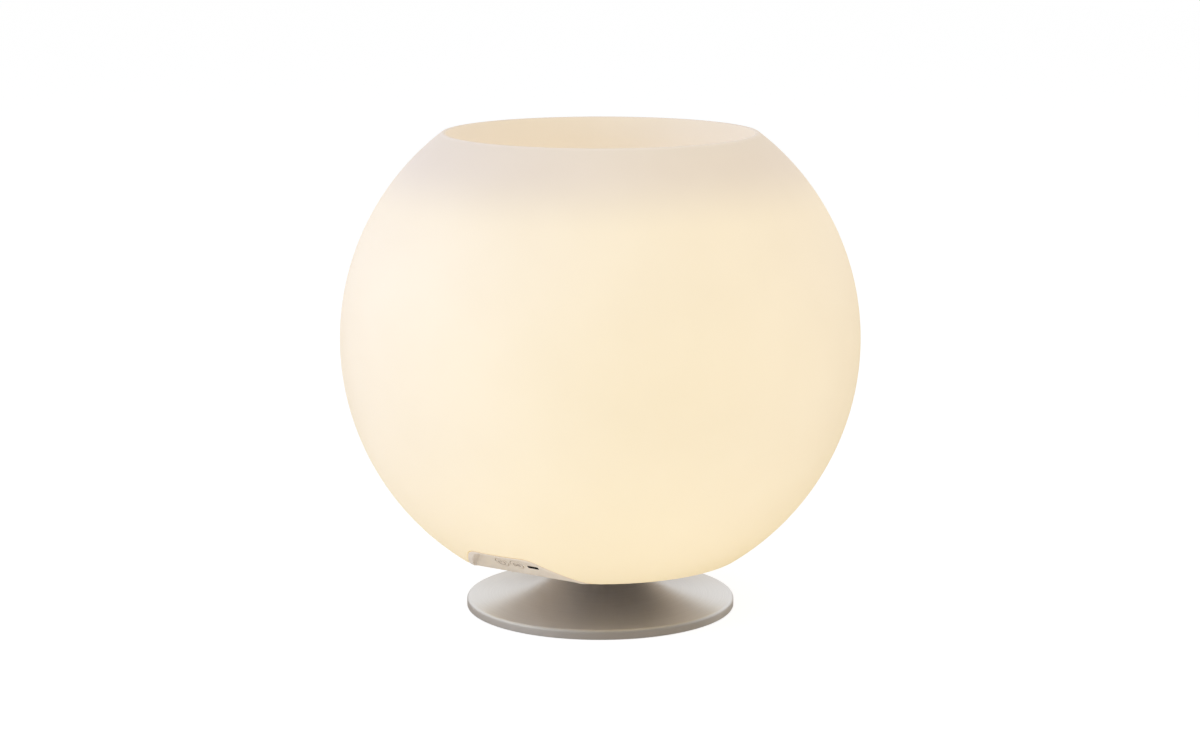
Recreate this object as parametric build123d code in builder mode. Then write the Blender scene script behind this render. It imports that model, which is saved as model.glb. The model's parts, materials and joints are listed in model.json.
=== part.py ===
from build123d import *
import math
import os

# Speaker globe light: an opal ball with an open top that holds an ice bucket,
# lit from inside, on a flared metal foot. The sound module closes the ball from
# below and fires its speaker down onto the foot. The control panel faces -Y.
# Millimetres, +Z up, origin on the table under the middle of the foot.

os.makedirs("parts", exist_ok=True)

# Clearances
slide_gap = 0.3
part_gap = 0.4
bond_gap = 0.1
hole_gap = 0.1

# Opal ball
globe_diameter = 310.0
globe_wall = 2.5
mouth_diameter = 187.0
rim_land = 1.8
rim_round = 0.6
underside_height = 35.2
ledge_gap = 4.0
ledge_thickness = 5.0

# Notch in the ball's lower edge, for the control panel
notch_height = 18.1
notch_top_half_width = 20.8
notch_foot_half_width = 42.2
notch_top_round = 14.0
notch_foot_round = 14.0

# Ice bucket
bucket_wall = 2.2
bucket_lip_drop = 0.3
bucket_lip_height = 12.0
bucket_lip_edge = 0.4
bucket_floor_radius = 72.0
bucket_floor_round = 35.0
bucket_pad_radius = 30.0
bucket_pad_bore = 14.0
bucket_pad_thickness = 2.0

# Flared foot
foot_diameter = 161.8
foot_edge = 5.8
foot_edge_round = 2.0
foot_edge_bevel = 0.4
foot_stand = 0.3
stem_diameter = 40.0
stem_straight = 1.5
spigot_radius = 15.0
spigot_height = 2.0
foot_pad_radius = 74.0
foot_pad_thickness = 2.0
foot_well_radius = 14.0
foot_web = 7.0

# Sound module housing
housing_floor = 4.0
housing_gasket_thickness = 1.0
floor_margin = 13.8
can_wall = 2.5
hub_radius = 24.0
hub_height = 7.0
baffle_wall = 3.0
baffle_height = 6.5
slot_count = 24
slot_width = 3.2
slot_margin = 2.5
cover_post_radius = 3.5
cover_post_inset = 2.0
cover_gasket_thickness = 1.0
cover_plate = 2.5
plateau_radius = 38.0
plateau_rise = 7.0
mesh_thickness = 0.4

# Screws: head radius, head height, shank radius
foot_screw = (3.6, 2.6, 2.0)
housing_screw = (2.8, 2.0, 1.5)
small_screw = (2.4, 1.6, 1.25)
tiny_screw = (1.5, 1.2, 0.8)
foot_screw_length = 11.0
foot_screw_ring_radius = 8.5
housing_screw_length = 9.0
housing_screw_inset = 5.3
housing_screw_angles = (30, 90, 150, 210, 330)
cover_screw_length = 12.0
cover_screw_count = 6
panel_screw_length = 15.0
speaker_screw_length = 7.0
board_screw_length = 6.0
led_screw_length = 3.5
control_screw_length = 4.4

# Control panel: a scoop with a face that leans outwards as it rises
panel_wall = 2.2
panel_flush = 0.3
pocket_head = 1.2
pocket_end = 2.8
pocket_round = 4.0
face_room = 8.0
face_tilt = 48.0
control_row = 10.2
button_radius = 4.3
button_proud = 0.2
button_rim = 0.85
button_rim_thickness = 0.75
button_travel = 0.5
light_button_x = -13.0
sound_button_x = -2.5
socket_x = 8.9
socket_width = 7.5
socket_depth = 2.6
socket_wall = 0.35
socket_recess = 0.6
tongue_width = 5.0
tongue_thickness = 0.7
tongue_recess = 1.0
switch_size = 4.5
switch_height = 1.7
plunger_radius = 1.6
plunger_sunk = 0.3
plunger_spare = 0.2
control_board_gap = 3.5
control_board_thickness = 1.2
control_board_left = -18.0
control_board_right = 15.0
control_board_low = 2.5
control_board_high = 14.2
board_peg_x = (-7.75, 3.2)
board_peg_s = 4.5
board_peg_radius = 1.4
panel_boss_x = 23.5
panel_boss_rise = 9.0
panel_boss_radius = 3.0
panel_seat_radius = 4.0
panel_seat_depth = 5.0

# Speaker driver, facing down
speaker_gasket_thickness = 1.5
surround_thickness = 0.5
frame_flange = 2.0
frame_flange_width = 6.0
basket_depth = 18.0
basket_wall = 1.5
basket_windows = 6
basket_window_width = 13.0
cone_radius = 33.0
cone_flange = 3.0
cone_thickness = 0.6
cone_height = 12.0
roll_radius = 2.0
spider_thickness = 0.5
spider_waves = 3
spider_wave_depth = 0.6
spider_seat = 2.5
coil_radius = 13.2
coil_wall = 0.3
cone_travel = 2.0
air_gap = 0.45
top_plate_radius = 28.0
top_plate_thickness = 4.0
magnet_radius = 29.0
magnet_bore = 16.0
magnet_height = 10.0
yoke_thickness = 4.0
dust_cap_radius = 15.0
dust_cap_depth = 3.6
speaker_screw_count = 4

# Light, power and boards
led_board_thickness = 1.6
led_board_inner = 45.0
led_board_outer = 56.0
led_count = 18
led_width = 3.2
led_height = 1.2
light_ring_wall = 1.4
light_ring_height = 6.0
light_ring_radius = 59.5
cell_radius = 9.2
cell_length = 65.0
cell_cap_radius = 4.0
cell_cap_height = 1.0
cell_clear_of_magnet = 3.6
cell_clear_of_can = 4.5
cell_pad_width = 12.0
cell_pad_length = 16.0
cell_drop = 4.6
cradle_thickness = 3.0
cradle_spacing = 27.0
main_board_width = 66.0
main_board_height = 33.0
main_board_thickness = 1.6
main_board_corner_gap = 8.0
main_board_top_gap = 2.0
radio_size = (16.0, 12.0, 2.4)
radio_place = (-13.0, 23.0)
amplifier_size = (9.0, 9.0, 1.4)
amplifier_place = (8.0, 24.0)
choke_size = (8.0, 8.0, 4.0)
choke_place = (15.0, 12.0)
connector_size = (7.0, 5.0, 4.5)
connector_places = ((-17.0, 5.0), (19.0, 4.0))
capacitor_radius = 3.2
capacitor_height = 6.0
capacitor_places = ((-4.0, 9.0), (4.0, 9.0))
board_boss_x = 27.0
board_boss_inset = 4.0
board_boss_radius = 3.0

# Radii that follow from the speaker, and from the cells beside its magnet: the can
# goes round the cells, the floor plate round the can, and the ball round the plate
cone_edge = cone_radius + cone_flange
roll_middle = cone_edge + roll_radius
frame_opening = roll_middle + roll_radius
baffle_radius = frame_opening + frame_flange_width
speaker_screw_radius = baffle_radius - baffle_wall / 2
slot_length = baffle_radius - baffle_wall - hub_radius - 2 * slot_margin
cell_x = magnet_radius + cell_clear_of_magnet + cell_radius
cell_reach = math.hypot(cell_x + cell_radius, cell_length / 2 + cell_cap_height)
can_inner_radius = cell_reach + cell_clear_of_can
can_radius = can_inner_radius + can_wall
cover_post_radial = can_inner_radius - cover_post_inset
floor_radius = can_radius + floor_margin
housing_screw_radial = floor_radius - housing_screw_inset
ledge_bore = can_radius + ledge_gap
main_board_back = math.sqrt(can_inner_radius**2 - (main_board_width / 2) ** 2) - main_board_corner_gap
main_board_depth = main_board_back - main_board_thickness

# Levels that follow from the sizes above
globe_radius = globe_diameter / 2
globe_inner_radius = globe_radius - globe_wall
globe_opening = floor_radius + slide_gap
globe_centre_height = underside_height + math.sqrt(globe_inner_radius**2 - globe_opening**2)
mouth_radius = mouth_diameter / 2
rim_height = globe_centre_height + math.sqrt(globe_radius**2 - mouth_radius**2)
land_radius = mouth_radius - rim_land
land_height = globe_centre_height + math.sqrt(globe_inner_radius**2 - land_radius**2)


def ball_radius_at(ball_radius, height):
    return math.sqrt(ball_radius**2 - (height - globe_centre_height) ** 2)


floor_top = underside_height + housing_floor
ledge_bottom = floor_top + housing_gasket_thickness
ledge_top = ledge_bottom + ledge_thickness
notch_top = underside_height + notch_height
hub_top = underside_height + hub_height

baffle_top = floor_top + baffle_height
speaker_gasket_top = baffle_top + speaker_gasket_thickness
surround_top = speaker_gasket_top + surround_thickness
flange_top = surround_top + frame_flange
basket_top = flange_top + basket_depth
top_plate_bottom = basket_top + basket_wall
magnet_bottom = top_plate_bottom + top_plate_thickness
yoke_bottom = magnet_bottom + magnet_height
yoke_top = yoke_bottom + yoke_thickness

can_top = yoke_top
cover_bottom = can_top + cover_gasket_thickness
cover_top = cover_bottom + cover_plate
plateau_top = cover_top + plateau_rise
bucket_bottom = plateau_top + bucket_pad_thickness
bucket_floor = bucket_bottom + bucket_wall
bucket_lip_radius = land_radius - bond_gap
bucket_lip_top = rim_height - bucket_lip_drop

foot_radius = foot_diameter / 2
foot_edge_top = foot_stand + foot_edge
stem_radius = stem_diameter / 2
stem_foot = underside_height - stem_straight

panel_rear = can_radius + part_gap + bond_gap
face_foot = panel_rear + face_room
face_back = -panel_wall
board_front = face_back - control_board_gap
board_back = board_front - control_board_thickness
face_plane = Plane(
    origin=(0, -face_foot, underside_height),
    x_dir=(1, 0, 0),
    z_dir=(0, -math.cos(math.radians(face_tilt)), -math.sin(math.radians(face_tilt))),
)


def turned(*points):
    # A ring turned about the upright axis, from its cross-section (radius, height)
    with BuildSketch(Plane.XZ) as section:
        with BuildLine():
            Polyline(*points, close=True)
        make_face()
    revolve(section.sketch, axis=Axis.Z)


def washer(inner, outer, bottom, top):
    turned((inner, bottom), (outer, bottom), (outer, top), (inner, top))


def screw(sizes, length):
    # Head below the seat plane, shank above it, in the current place
    head_radius, head_height, shank_radius = sizes
    Cylinder(head_radius, head_height, align=(Align.CENTER, Align.CENTER, Align.MAX))
    Cylinder(shank_radius, length, align=(Align.CENTER, Align.CENTER, Align.MIN))


def screw_hole(sizes, depth):
    Cylinder(
        sizes[2] + hole_gap,
        depth,
        align=(Align.CENTER, Align.CENTER, Align.MIN),
        mode=Mode.SUBTRACT,
    )


def on_circle(radius, angle, height, turn=(0, 0, 0)):
    a = math.radians(angle)
    return Location((radius * math.cos(a), radius * math.sin(a), height), turn)


def notch_outline(inset, end_inset):
    # The notch seen from the front, drawn in at its head and at both ends, open below the ball
    lean = (notch_foot_half_width - notch_top_half_width) / notch_height
    drawn_in = end_inset * math.hypot(1, lean)
    top = notch_top - inset
    foot = underside_height - inset
    top_half = notch_top_half_width + lean * inset - drawn_in
    foot_half = notch_top_half_width + lean * (notch_top - foot) - drawn_in
    shoulder_half = foot_half + 2 * notch_foot_round
    low = underside_height - notch_height
    with BuildLine() as outline:
        Polyline(
            (-top_half, top),
            (top_half, top),
            (foot_half, foot),
            (shoulder_half, foot),
            (shoulder_half, low),
            (-shoulder_half, low),
            (-shoulder_half, foot),
            (-foot_half, foot),
            close=True,
        )
    make_face(outline.edges())
    corners = vertices().group_by(Axis.Y)
    fillet(corners[-1], notch_top_round - inset)
    shoulder = vertices().filter_by_position(Axis.Y, foot - bond_gap, foot + bond_gap)
    fillet(shoulder.sort_by(Axis.X)[1:3], notch_foot_round + inset)


# Opal ball: one wall with an open mouth, a flat cut below, an inner ledge for the
# housing's screws, and the notch for the control panel
with BuildPart() as globe_shade:
    with BuildSketch(Plane.XZ):
        with BuildLine():
            lower_lip = ball_radius_at(globe_inner_radius, ledge_bottom)
            upper_lip = ball_radius_at(globe_inner_radius, ledge_top)
            lip_middle = (underside_height + ledge_bottom) / 2
            ThreePointArc(
                (ball_radius_at(globe_radius, underside_height), underside_height),
                (globe_radius, globe_centre_height),
                (mouth_radius, rim_height),
            )
            Polyline((mouth_radius, rim_height), (land_radius, rim_height), (land_radius, land_height))
            ThreePointArc(
                (land_radius, land_height),
                (globe_inner_radius, globe_centre_height),
                (upper_lip, ledge_top),
            )
            Polyline(
                (upper_lip, ledge_top),
                (ledge_bore, ledge_top),
                (ledge_bore, ledge_bottom),
                (lower_lip, ledge_bottom),
            )
            ThreePointArc(
                (lower_lip, ledge_bottom),
                (ball_radius_at(globe_inner_radius, lip_middle), lip_middle),
                (globe_opening, underside_height),
            )
            Line(
                (globe_opening, underside_height),
                (ball_radius_at(globe_radius, underside_height), underside_height),
            )
        make_face()
    revolve(axis=Axis.Z)
    rim_edges = globe_shade.edges().filter_by(GeomType.CIRCLE).group_by(Axis.Z)[-1]
    fillet(rim_edges, rim_round)
    with BuildSketch(Plane.XZ):
        notch_outline(0, 0)
    extrude(amount=globe_diameter, mode=Mode.SUBTRACT)
    for angle in housing_screw_angles:
        with Locations(on_circle(housing_screw_radial, angle, ledge_bottom)):
            screw_hole(housing_screw, ledge_thickness)

# Ice bucket: a tapered opal liner bonded inside the rim by its thinned lip, standing
# on the module
with BuildPart() as ice_bucket:
    taper_top = bucket_lip_top - bucket_lip_height
    bore_radius = bucket_lip_radius - bucket_wall
    with BuildSketch(Plane.XZ):
        with BuildLine():
            Polyline(
                (0, bucket_bottom),
                (bucket_floor_radius, bucket_bottom),
                (bucket_lip_radius, taper_top),
                (bucket_lip_radius, bucket_lip_top),
                (0, bucket_lip_top),
                close=True,
            )
        make_face()
        fillet(vertices().group_by(Axis.Y)[0].sort_by(Axis.X)[-1], bucket_floor_round)
    revolve(axis=Axis.Z)
    with BuildSketch(Plane.XZ):
        with BuildLine():
            Polyline(
                (0, bucket_floor),
                (bucket_floor_radius - bucket_wall, bucket_floor),
                (bore_radius, taper_top),
                (bucket_lip_radius - bucket_lip_edge, bucket_lip_top),
                (0, bucket_lip_top),
                close=True,
            )
        make_face()
        fillet(vertices().group_by(Axis.Y)[0].sort_by(Axis.X)[-1], bucket_floor_round - bucket_wall)
    revolve(axis=Axis.Z, mode=Mode.SUBTRACT)

with BuildPart() as bucket_pad:
    washer(bucket_pad_bore, bucket_pad_radius, plateau_top, bucket_bottom)

# Foot: a turned trumpet with a spigot that centres the housing's hub
with BuildPart() as foot:
    with BuildSketch(Plane.XZ):
        with BuildLine():
            flare_start = foot_radius - foot_edge_round
            flare_width = flare_start - stem_radius
            flare_rise = stem_foot - foot_edge_top
            Polyline(
                (0, foot_stand),
                (foot_radius - foot_edge_bevel, foot_stand),
                (foot_radius, foot_stand + foot_edge_bevel),
                (foot_radius, foot_edge_top - foot_edge_round),
            )
            TangentArc(
                (foot_radius, foot_edge_top - foot_edge_round),
                (flare_start, foot_edge_top),
                tangent=(0, 1),
            )
            EllipticalCenterArc(
                (flare_start, stem_foot),
                flare_width,
                flare_rise,
                start_angle=180,
                arc_size=90,
            )
            Polyline(
                (stem_radius, stem_foot),
                (stem_radius, underside_height),
                (spigot_radius, underside_height),
                (spigot_radius, underside_height + spigot_height),
                (0, underside_height + spigot_height),
                (0, foot_stand),
            )
        make_face()
    revolve(axis=Axis.Z)
    with BuildSketch(Plane.XY.offset(foot_stand)):
        Circle(foot_pad_radius + hole_gap)
    extrude(amount=foot_pad_thickness - foot_stand, mode=Mode.SUBTRACT)
    with BuildSketch(Plane.XY.offset(foot_stand)):
        Circle(foot_well_radius)
    extrude(amount=underside_height - foot_web - foot_stand, mode=Mode.SUBTRACT)
    with PolarLocations(foot_screw_ring_radius, 3, start_angle=90):
        with Locations((0, 0, underside_height - foot_web)):
            screw_hole(foot_screw, foot_web + spigot_height)

with BuildPart() as foot_pad:
    with BuildSketch():
        Circle(foot_pad_radius)
    extrude(amount=foot_pad_thickness)
    chamfer(foot_pad.edges().group_by(Axis.Z)[0], foot_stand / 2)

with BuildPart() as foot_screws:
    with PolarLocations(foot_screw_ring_radius, 3, start_angle=90):
        with Locations((0, 0, underside_height - foot_web)):
            screw(foot_screw, foot_screw_length)

# Housing: floor plate with sound slots, hub for the foot, speaker baffle and can
with BuildPart() as bottom_housing:
    washer(0, floor_radius, underside_height, floor_top)
    washer(can_inner_radius, can_radius, floor_top, can_top)
    washer(0, hub_radius, floor_top, hub_top)
    washer(baffle_radius - baffle_wall, baffle_radius, floor_top, baffle_top)
    with BuildSketch(Plane.XY.offset(underside_height)):
        Circle(spigot_radius + hole_gap)
    extrude(amount=spigot_height + hole_gap, mode=Mode.SUBTRACT)
    with BuildSketch(Plane.XY.offset(underside_height)):
        slot_circle = (hub_radius + baffle_radius - baffle_wall) / 2
        with PolarLocations(slot_circle, slot_count):
            SlotOverall(slot_length, slot_width)
    extrude(amount=housing_floor, mode=Mode.SUBTRACT)
    # Posts for the cover's screws, grown out of the can's wall
    with PolarLocations(cover_post_radial, cover_screw_count):
        with Locations((0, 0, floor_top)):
            Cylinder(
                cover_post_radius,
                can_top - floor_top,
                align=(Align.CENTER, Align.CENTER, Align.MIN),
            )
        with Locations((0, 0, can_top - cover_screw_length)):
            screw_hole(small_screw, cover_screw_length)
    # Cradles under the battery cells
    cell_z = cover_bottom - cell_drop - cell_radius
    cradle_inside = cradle_spacing - cradle_thickness / 2
    cradle_inner = math.sqrt((baffle_radius + part_gap) ** 2 - cradle_inside**2)
    cradle_width = cell_x + cell_radius + cradle_thickness - cradle_inner
    for row in (-cradle_spacing, cradle_spacing):
        with BuildSketch(Plane.XZ.offset(row - cradle_thickness / 2)):
            with Locations((cradle_inner, floor_top)):
                Rectangle(cradle_width, cell_z - floor_top, align=(Align.MIN, Align.MIN))
            with Locations((-cradle_inner, floor_top)):
                Rectangle(cradle_width, cell_z - floor_top, align=(Align.MAX, Align.MIN))
            with Locations((-cell_x, cell_z), (cell_x, cell_z)):
                Circle(cell_radius + hole_gap, mode=Mode.SUBTRACT)
        extrude(amount=cradle_thickness)
    # Bosses on the can's back wall that carry the main board
    main_board_bottom = can_top - main_board_top_gap - main_board_height
    board_boss_heights = (
        main_board_bottom + board_boss_inset,
        main_board_bottom + main_board_height - board_boss_inset,
    )
    board_boss_places = [(x, z) for x in (-board_boss_x, board_boss_x) for z in board_boss_heights]
    boss_reach = math.sqrt(can_inner_radius**2 - (board_boss_x + board_boss_radius) ** 2)
    board_boss_length = boss_reach + can_wall - main_board_back
    with BuildSketch(Plane.XZ.offset(-main_board_back)):
        with Locations(*board_boss_places):
            Circle(board_boss_radius)
    extrude(amount=-board_boss_length)
    with BuildSketch(Plane.XZ.offset(-main_board_back)):
        with Locations(*board_boss_places):
            Circle(small_screw[2] + hole_gap)
    extrude(amount=-board_screw_length, mode=Mode.SUBTRACT)
    # Flat seats inside the can for the panel's screws
    panel_boss_height = underside_height + panel_boss_rise
    panel_seat = math.sqrt(can_inner_radius**2 - (panel_boss_x + panel_seat_radius) ** 2) - can_wall / 2
    panel_screw_places = [(x, panel_boss_height) for x in (-panel_boss_x, panel_boss_x)]
    with BuildSketch(Plane.XZ.offset(panel_seat)):
        with Locations(*panel_screw_places):
            Circle(panel_seat_radius)
    extrude(amount=panel_seat_depth)
    with BuildSketch(Plane.XZ.offset(panel_seat)):
        with Locations(*panel_screw_places):
            Circle(housing_screw[2] + hole_gap)
    extrude(amount=can_radius - panel_seat, mode=Mode.SUBTRACT)
    # Front of the floor plate makes room for the control panel
    with BuildSketch(Plane.XZ.offset(panel_rear - part_gap)):
        notch_outline(0, 0)
    extrude(amount=globe_radius, mode=Mode.SUBTRACT)
    # Counterbored holes for the screws into the ball's ledge
    for angle in housing_screw_angles:
        with Locations(on_circle(housing_screw_radial, angle, underside_height)):
            screw_hole(housing_screw, housing_floor)
            Cylinder(
                housing_screw[0] + slide_gap,
                housing_screw[1],
                align=(Align.CENTER, Align.CENTER, Align.MIN),
                mode=Mode.SUBTRACT,
            )
    with PolarLocations(foot_screw_ring_radius, 3, start_angle=90):
        with Locations((0, 0, underside_height)):
            screw_hole(foot_screw, hub_height)
    with PolarLocations(speaker_screw_radius, speaker_screw_count, start_angle=45):
        with Locations((0, 0, flange_top - speaker_screw_length)):
            screw_hole(tiny_screw, speaker_screw_length)

with BuildPart() as housing_gasket:
    gasket_inner = ledge_bore + slide_gap
    gasket_outer = floor_radius
    washer(gasket_inner, gasket_outer, floor_top, ledge_bottom)
    with BuildSketch(Plane.XZ):
        notch_outline(0, 0)
    extrude(amount=globe_radius, mode=Mode.SUBTRACT)
    for angle in housing_screw_angles:
        with Locations(on_circle(housing_screw_radial, angle, floor_top)):
            screw_hole(housing_screw, housing_gasket_thickness)

with BuildPart() as housing_screws:
    for angle in housing_screw_angles:
        with Locations(on_circle(housing_screw_radial, angle, underside_height + housing_screw[1])):
            screw(housing_screw, housing_screw_length - housing_screw[1])

# Control panel: a scoop flush with the ball, with a pocket in front of its sloping
# face, room for the board behind it, and two bosses for the screws from the can
with BuildPart() as pocket_space:
    with BuildSketch(Plane.XZ):
        notch_outline(part_gap + pocket_head, part_gap + pocket_end)
    extrude(amount=globe_diameter)
    split(bisect_by=face_plane, keep=Keep.TOP)
    face_outline = faces().sort_by(Axis(face_plane.origin, face_plane.z_dir))[0].edges()
    # All but the three edges that lie below the ball
    fillet(face_outline.sort_by(Axis.Z)[3:], pocket_round)

with BuildPart() as board_space:
    with BuildSketch(Plane.XZ):
        notch_outline(part_gap + panel_wall, part_gap + panel_wall)
    extrude(amount=globe_diameter)
    split(bisect_by=face_plane.offset(face_back), keep=Keep.BOTTOM)
    split(bisect_by=Plane.XY.offset(underside_height + panel_wall), keep=Keep.TOP)

with BuildPart() as control_panel:
    with BuildSketch(Plane.XZ.offset(panel_rear)):
        notch_outline(part_gap, part_gap)
    extrude(amount=globe_radius)
    with Locations((0, 0, globe_centre_height)):
        Sphere(globe_radius - panel_flush, mode=Mode.INTERSECT)
    split(bisect_by=Plane.XY.offset(underside_height), keep=Keep.TOP)
    add(board_space.part, mode=Mode.SUBTRACT)
    boss_rear = math.sqrt(can_radius**2 - (panel_boss_x - panel_boss_radius) ** 2) + part_gap
    with BuildSketch(Plane.XZ.offset(boss_rear)):
        with Locations(*panel_screw_places):
            Circle(panel_boss_radius)
    extrude(amount=face_foot + panel_boss_rise + panel_boss_radius - boss_rear)
    with BuildSketch(face_plane.offset(board_front)):
        with Locations(*[(x, board_peg_s) for x in board_peg_x]):
            Circle(board_peg_radius)
    extrude(amount=control_board_gap + panel_wall / 2)
    add(pocket_space.part, mode=Mode.SUBTRACT)
    with BuildSketch(Plane.XZ.offset(boss_rear)):
        with Locations(*panel_screw_places):
            Circle(housing_screw[2] + hole_gap)
    extrude(amount=panel_seat + panel_screw_length - boss_rear, mode=Mode.SUBTRACT)
    with BuildSketch(face_plane.offset(board_front)):
        with Locations(*[(x, board_peg_s) for x in board_peg_x]):
            Circle(tiny_screw[2] + hole_gap)
    extrude(amount=control_screw_length - control_board_thickness, mode=Mode.SUBTRACT)
    with BuildSketch(face_plane):
        with Locations((light_button_x, control_row), (sound_button_x, control_row)):
            Circle(button_radius + slide_gap)
        with Locations((socket_x, control_row)):
            RectangleRounded(
                socket_width + 2 * hole_gap,
                socket_depth + 2 * hole_gap,
                socket_depth / 3,
            )
    extrude(amount=-panel_wall, mode=Mode.SUBTRACT)

with BuildPart() as panel_screws:
    with Locations(*[Location((x, -panel_seat, z), (90, 0, 0)) for x, z in panel_screw_places]):
        screw(housing_screw, panel_screw_length)


def button_cap(across):
    # Cap through the face, and the rim that keeps it from falling out
    rim_top = face_back - bond_gap
    with BuildSketch(face_plane.offset(button_proud)) as cap:
        with Locations((across, control_row)):
            Circle(button_radius)
    extrude(cap.sketch, amount=rim_top - button_proud)
    with BuildSketch(face_plane.offset(rim_top)) as rim:
        with Locations((across, control_row)):
            Circle(button_radius + button_rim)
    extrude(rim.sketch, amount=-button_rim_thickness)


def button_plunger(across):
    free_length = control_board_gap - switch_height - button_rim_thickness - bond_gap
    with BuildSketch(face_plane.offset(face_back - bond_gap - button_rim_thickness)) as stem:
        with Locations((across, control_row)):
            Circle(plunger_radius)
    extrude(stem.sketch, amount=-(free_length + plunger_sunk))


with BuildPart() as light_button:
    button_cap(light_button_x)

with BuildPart() as sound_button:
    button_cap(sound_button_x)

with BuildPart() as light_plunger:
    button_plunger(light_button_x)

with BuildPart() as sound_plunger:
    button_plunger(sound_button_x)

with BuildPart() as switch_bodies:
    with BuildSketch(face_plane.offset(board_front)):
        with Locations((light_button_x, control_row), (sound_button_x, control_row)):
            Rectangle(switch_size, switch_size)
    extrude(amount=switch_height)
    with BuildSketch(face_plane.offset(board_front + switch_height)):
        with Locations((light_button_x, control_row), (sound_button_x, control_row)):
            Circle(plunger_radius + slide_gap)
    extrude(amount=-(plunger_sunk + button_travel + plunger_spare), mode=Mode.SUBTRACT)

with BuildPart() as control_board:
    with BuildSketch(face_plane.offset(board_back)):
        with Locations((control_board_left, control_board_low)):
            Rectangle(
                control_board_right - control_board_left,
                control_board_high - control_board_low,
                align=(Align.MIN, Align.MIN),
            )
        with Locations(*[(x, board_peg_s) for x in board_peg_x]):
            Circle(tiny_screw[2] + hole_gap, mode=Mode.SUBTRACT)
    extrude(amount=control_board_thickness)

with BuildPart(face_plane.offset(board_back)) as control_board_screws:
    with Locations(*[(x, board_peg_s) for x in board_peg_x]):
        screw(tiny_screw, control_screw_length)

with BuildPart() as charge_socket_shell:
    with BuildSketch(face_plane.offset(board_front)):
        with Locations((socket_x, control_row)):
            RectangleRounded(socket_width, socket_depth, socket_depth / 3)
            RectangleRounded(
                socket_width - 2 * socket_wall,
                socket_depth - 2 * socket_wall,
                socket_depth / 3 - socket_wall,
                mode=Mode.SUBTRACT,
            )
    extrude(amount=-board_front - socket_recess)

with BuildPart() as charge_socket_tongue:
    with BuildSketch(face_plane.offset(board_front)):
        with Locations((socket_x, control_row)):
            Rectangle(tongue_width, tongue_thickness)
    extrude(amount=-board_front - socket_recess - tongue_recess)

# Module cover: closes the can, carries the lamps and the bucket
with BuildPart() as module_cover:
    washer(0, can_radius, cover_bottom, cover_top)
    washer(0, plateau_radius, cover_top, plateau_top)
    with BuildSketch(Plane.XY.offset(cover_bottom)):
        Circle(plateau_radius - cover_plate)
    extrude(amount=plateau_top - cover_plate - cover_bottom, mode=Mode.SUBTRACT)
    with PolarLocations(cover_post_radial, cover_screw_count):
        with Locations((0, 0, cover_bottom)):
            screw_hole(small_screw, cover_plate)
    led_circle = (led_board_inner + led_board_outer) / 2
    with PolarLocations(led_circle, 3, start_angle=led_count):
        with Locations((0, 0, cover_bottom)):
            screw_hole(tiny_screw, cover_plate)

with BuildPart() as cover_gasket:
    washer(can_inner_radius, can_radius, can_top, cover_bottom)
    with PolarLocations(cover_post_radial, cover_screw_count):
        with Locations((0, 0, can_top)):
            Cylinder(
                cover_post_radius,
                cover_gasket_thickness,
                align=(Align.CENTER, Align.CENTER, Align.MIN),
            )
            screw_hole(small_screw, cover_gasket_thickness)

with BuildPart() as cover_screws:
    for turn in range(cover_screw_count):
        seat = on_circle(cover_post_radial, turn * 360 / cover_screw_count, cover_top, (180, 0, 0))
        with Locations(seat):
            screw(small_screw, cover_screw_length)

with BuildPart() as led_board:
    washer(led_board_inner, led_board_outer, cover_top, cover_top + led_board_thickness)
    with PolarLocations(led_circle, 3, start_angle=led_count):
        with Locations((0, 0, cover_top)):
            screw_hole(tiny_screw, led_board_thickness)

with BuildPart() as led_screws:
    for turn in range(3):
        seat_height = cover_top + led_board_thickness
        with Locations(on_circle(led_circle, led_count + turn * 120, seat_height, (180, 0, 0))):
            screw(tiny_screw, led_screw_length)

with BuildPart() as leds:
    with BuildSketch(Plane.XY.offset(cover_top + led_board_thickness)):
        with PolarLocations(led_circle, led_count, start_angle=180 / led_count):
            Rectangle(led_width, led_width)
    extrude(amount=led_height)

with BuildPart() as light_ring:
    ring_bore = plateau_radius + slide_gap
    ring_top = cover_top + light_ring_height
    turned(
        (ring_bore, cover_top),
        (ring_bore + light_ring_wall, cover_top),
        (ring_bore + light_ring_wall, ring_top - light_ring_wall),
        (light_ring_radius - light_ring_wall, ring_top - light_ring_wall),
        (light_ring_radius - light_ring_wall, cover_top),
        (light_ring_radius, cover_top),
        (light_ring_radius, ring_top),
        (ring_bore, ring_top),
    )
    fillet(light_ring.edges().filter_by(GeomType.CIRCLE).group_by(Axis.Z)[-1][-1], light_ring_wall)

# Battery cells lie beside the magnet, pressed into their cradles by foam pads
with BuildPart() as battery_cells:
    for side in (-1, 1):
        with Locations(Location((side * cell_x, cell_length / 2, cell_z), (90, 0, 0))):
            Cylinder(cell_radius, cell_length, align=(Align.CENTER, Align.CENTER, Align.MIN))
        with Locations(Location((side * cell_x, -cell_length / 2, cell_z), (90, 0, 0))):
            Cylinder(cell_cap_radius, cell_cap_height, align=(Align.CENTER, Align.CENTER, Align.MIN))

with BuildPart() as battery_pads:
    with BuildSketch(Plane.XY.offset(cover_bottom)):
        with Locations((-cell_x, 0), (cell_x, 0)):
            Rectangle(cell_pad_width, cell_pad_length)
    extrude(amount=-cell_drop - cell_radius)
    with BuildSketch(Plane.XZ):
        with Locations((-cell_x, cell_z), (cell_x, cell_z)):
            Circle(cell_radius + hole_gap)
    extrude(amount=cell_length, both=True, mode=Mode.SUBTRACT)

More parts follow.
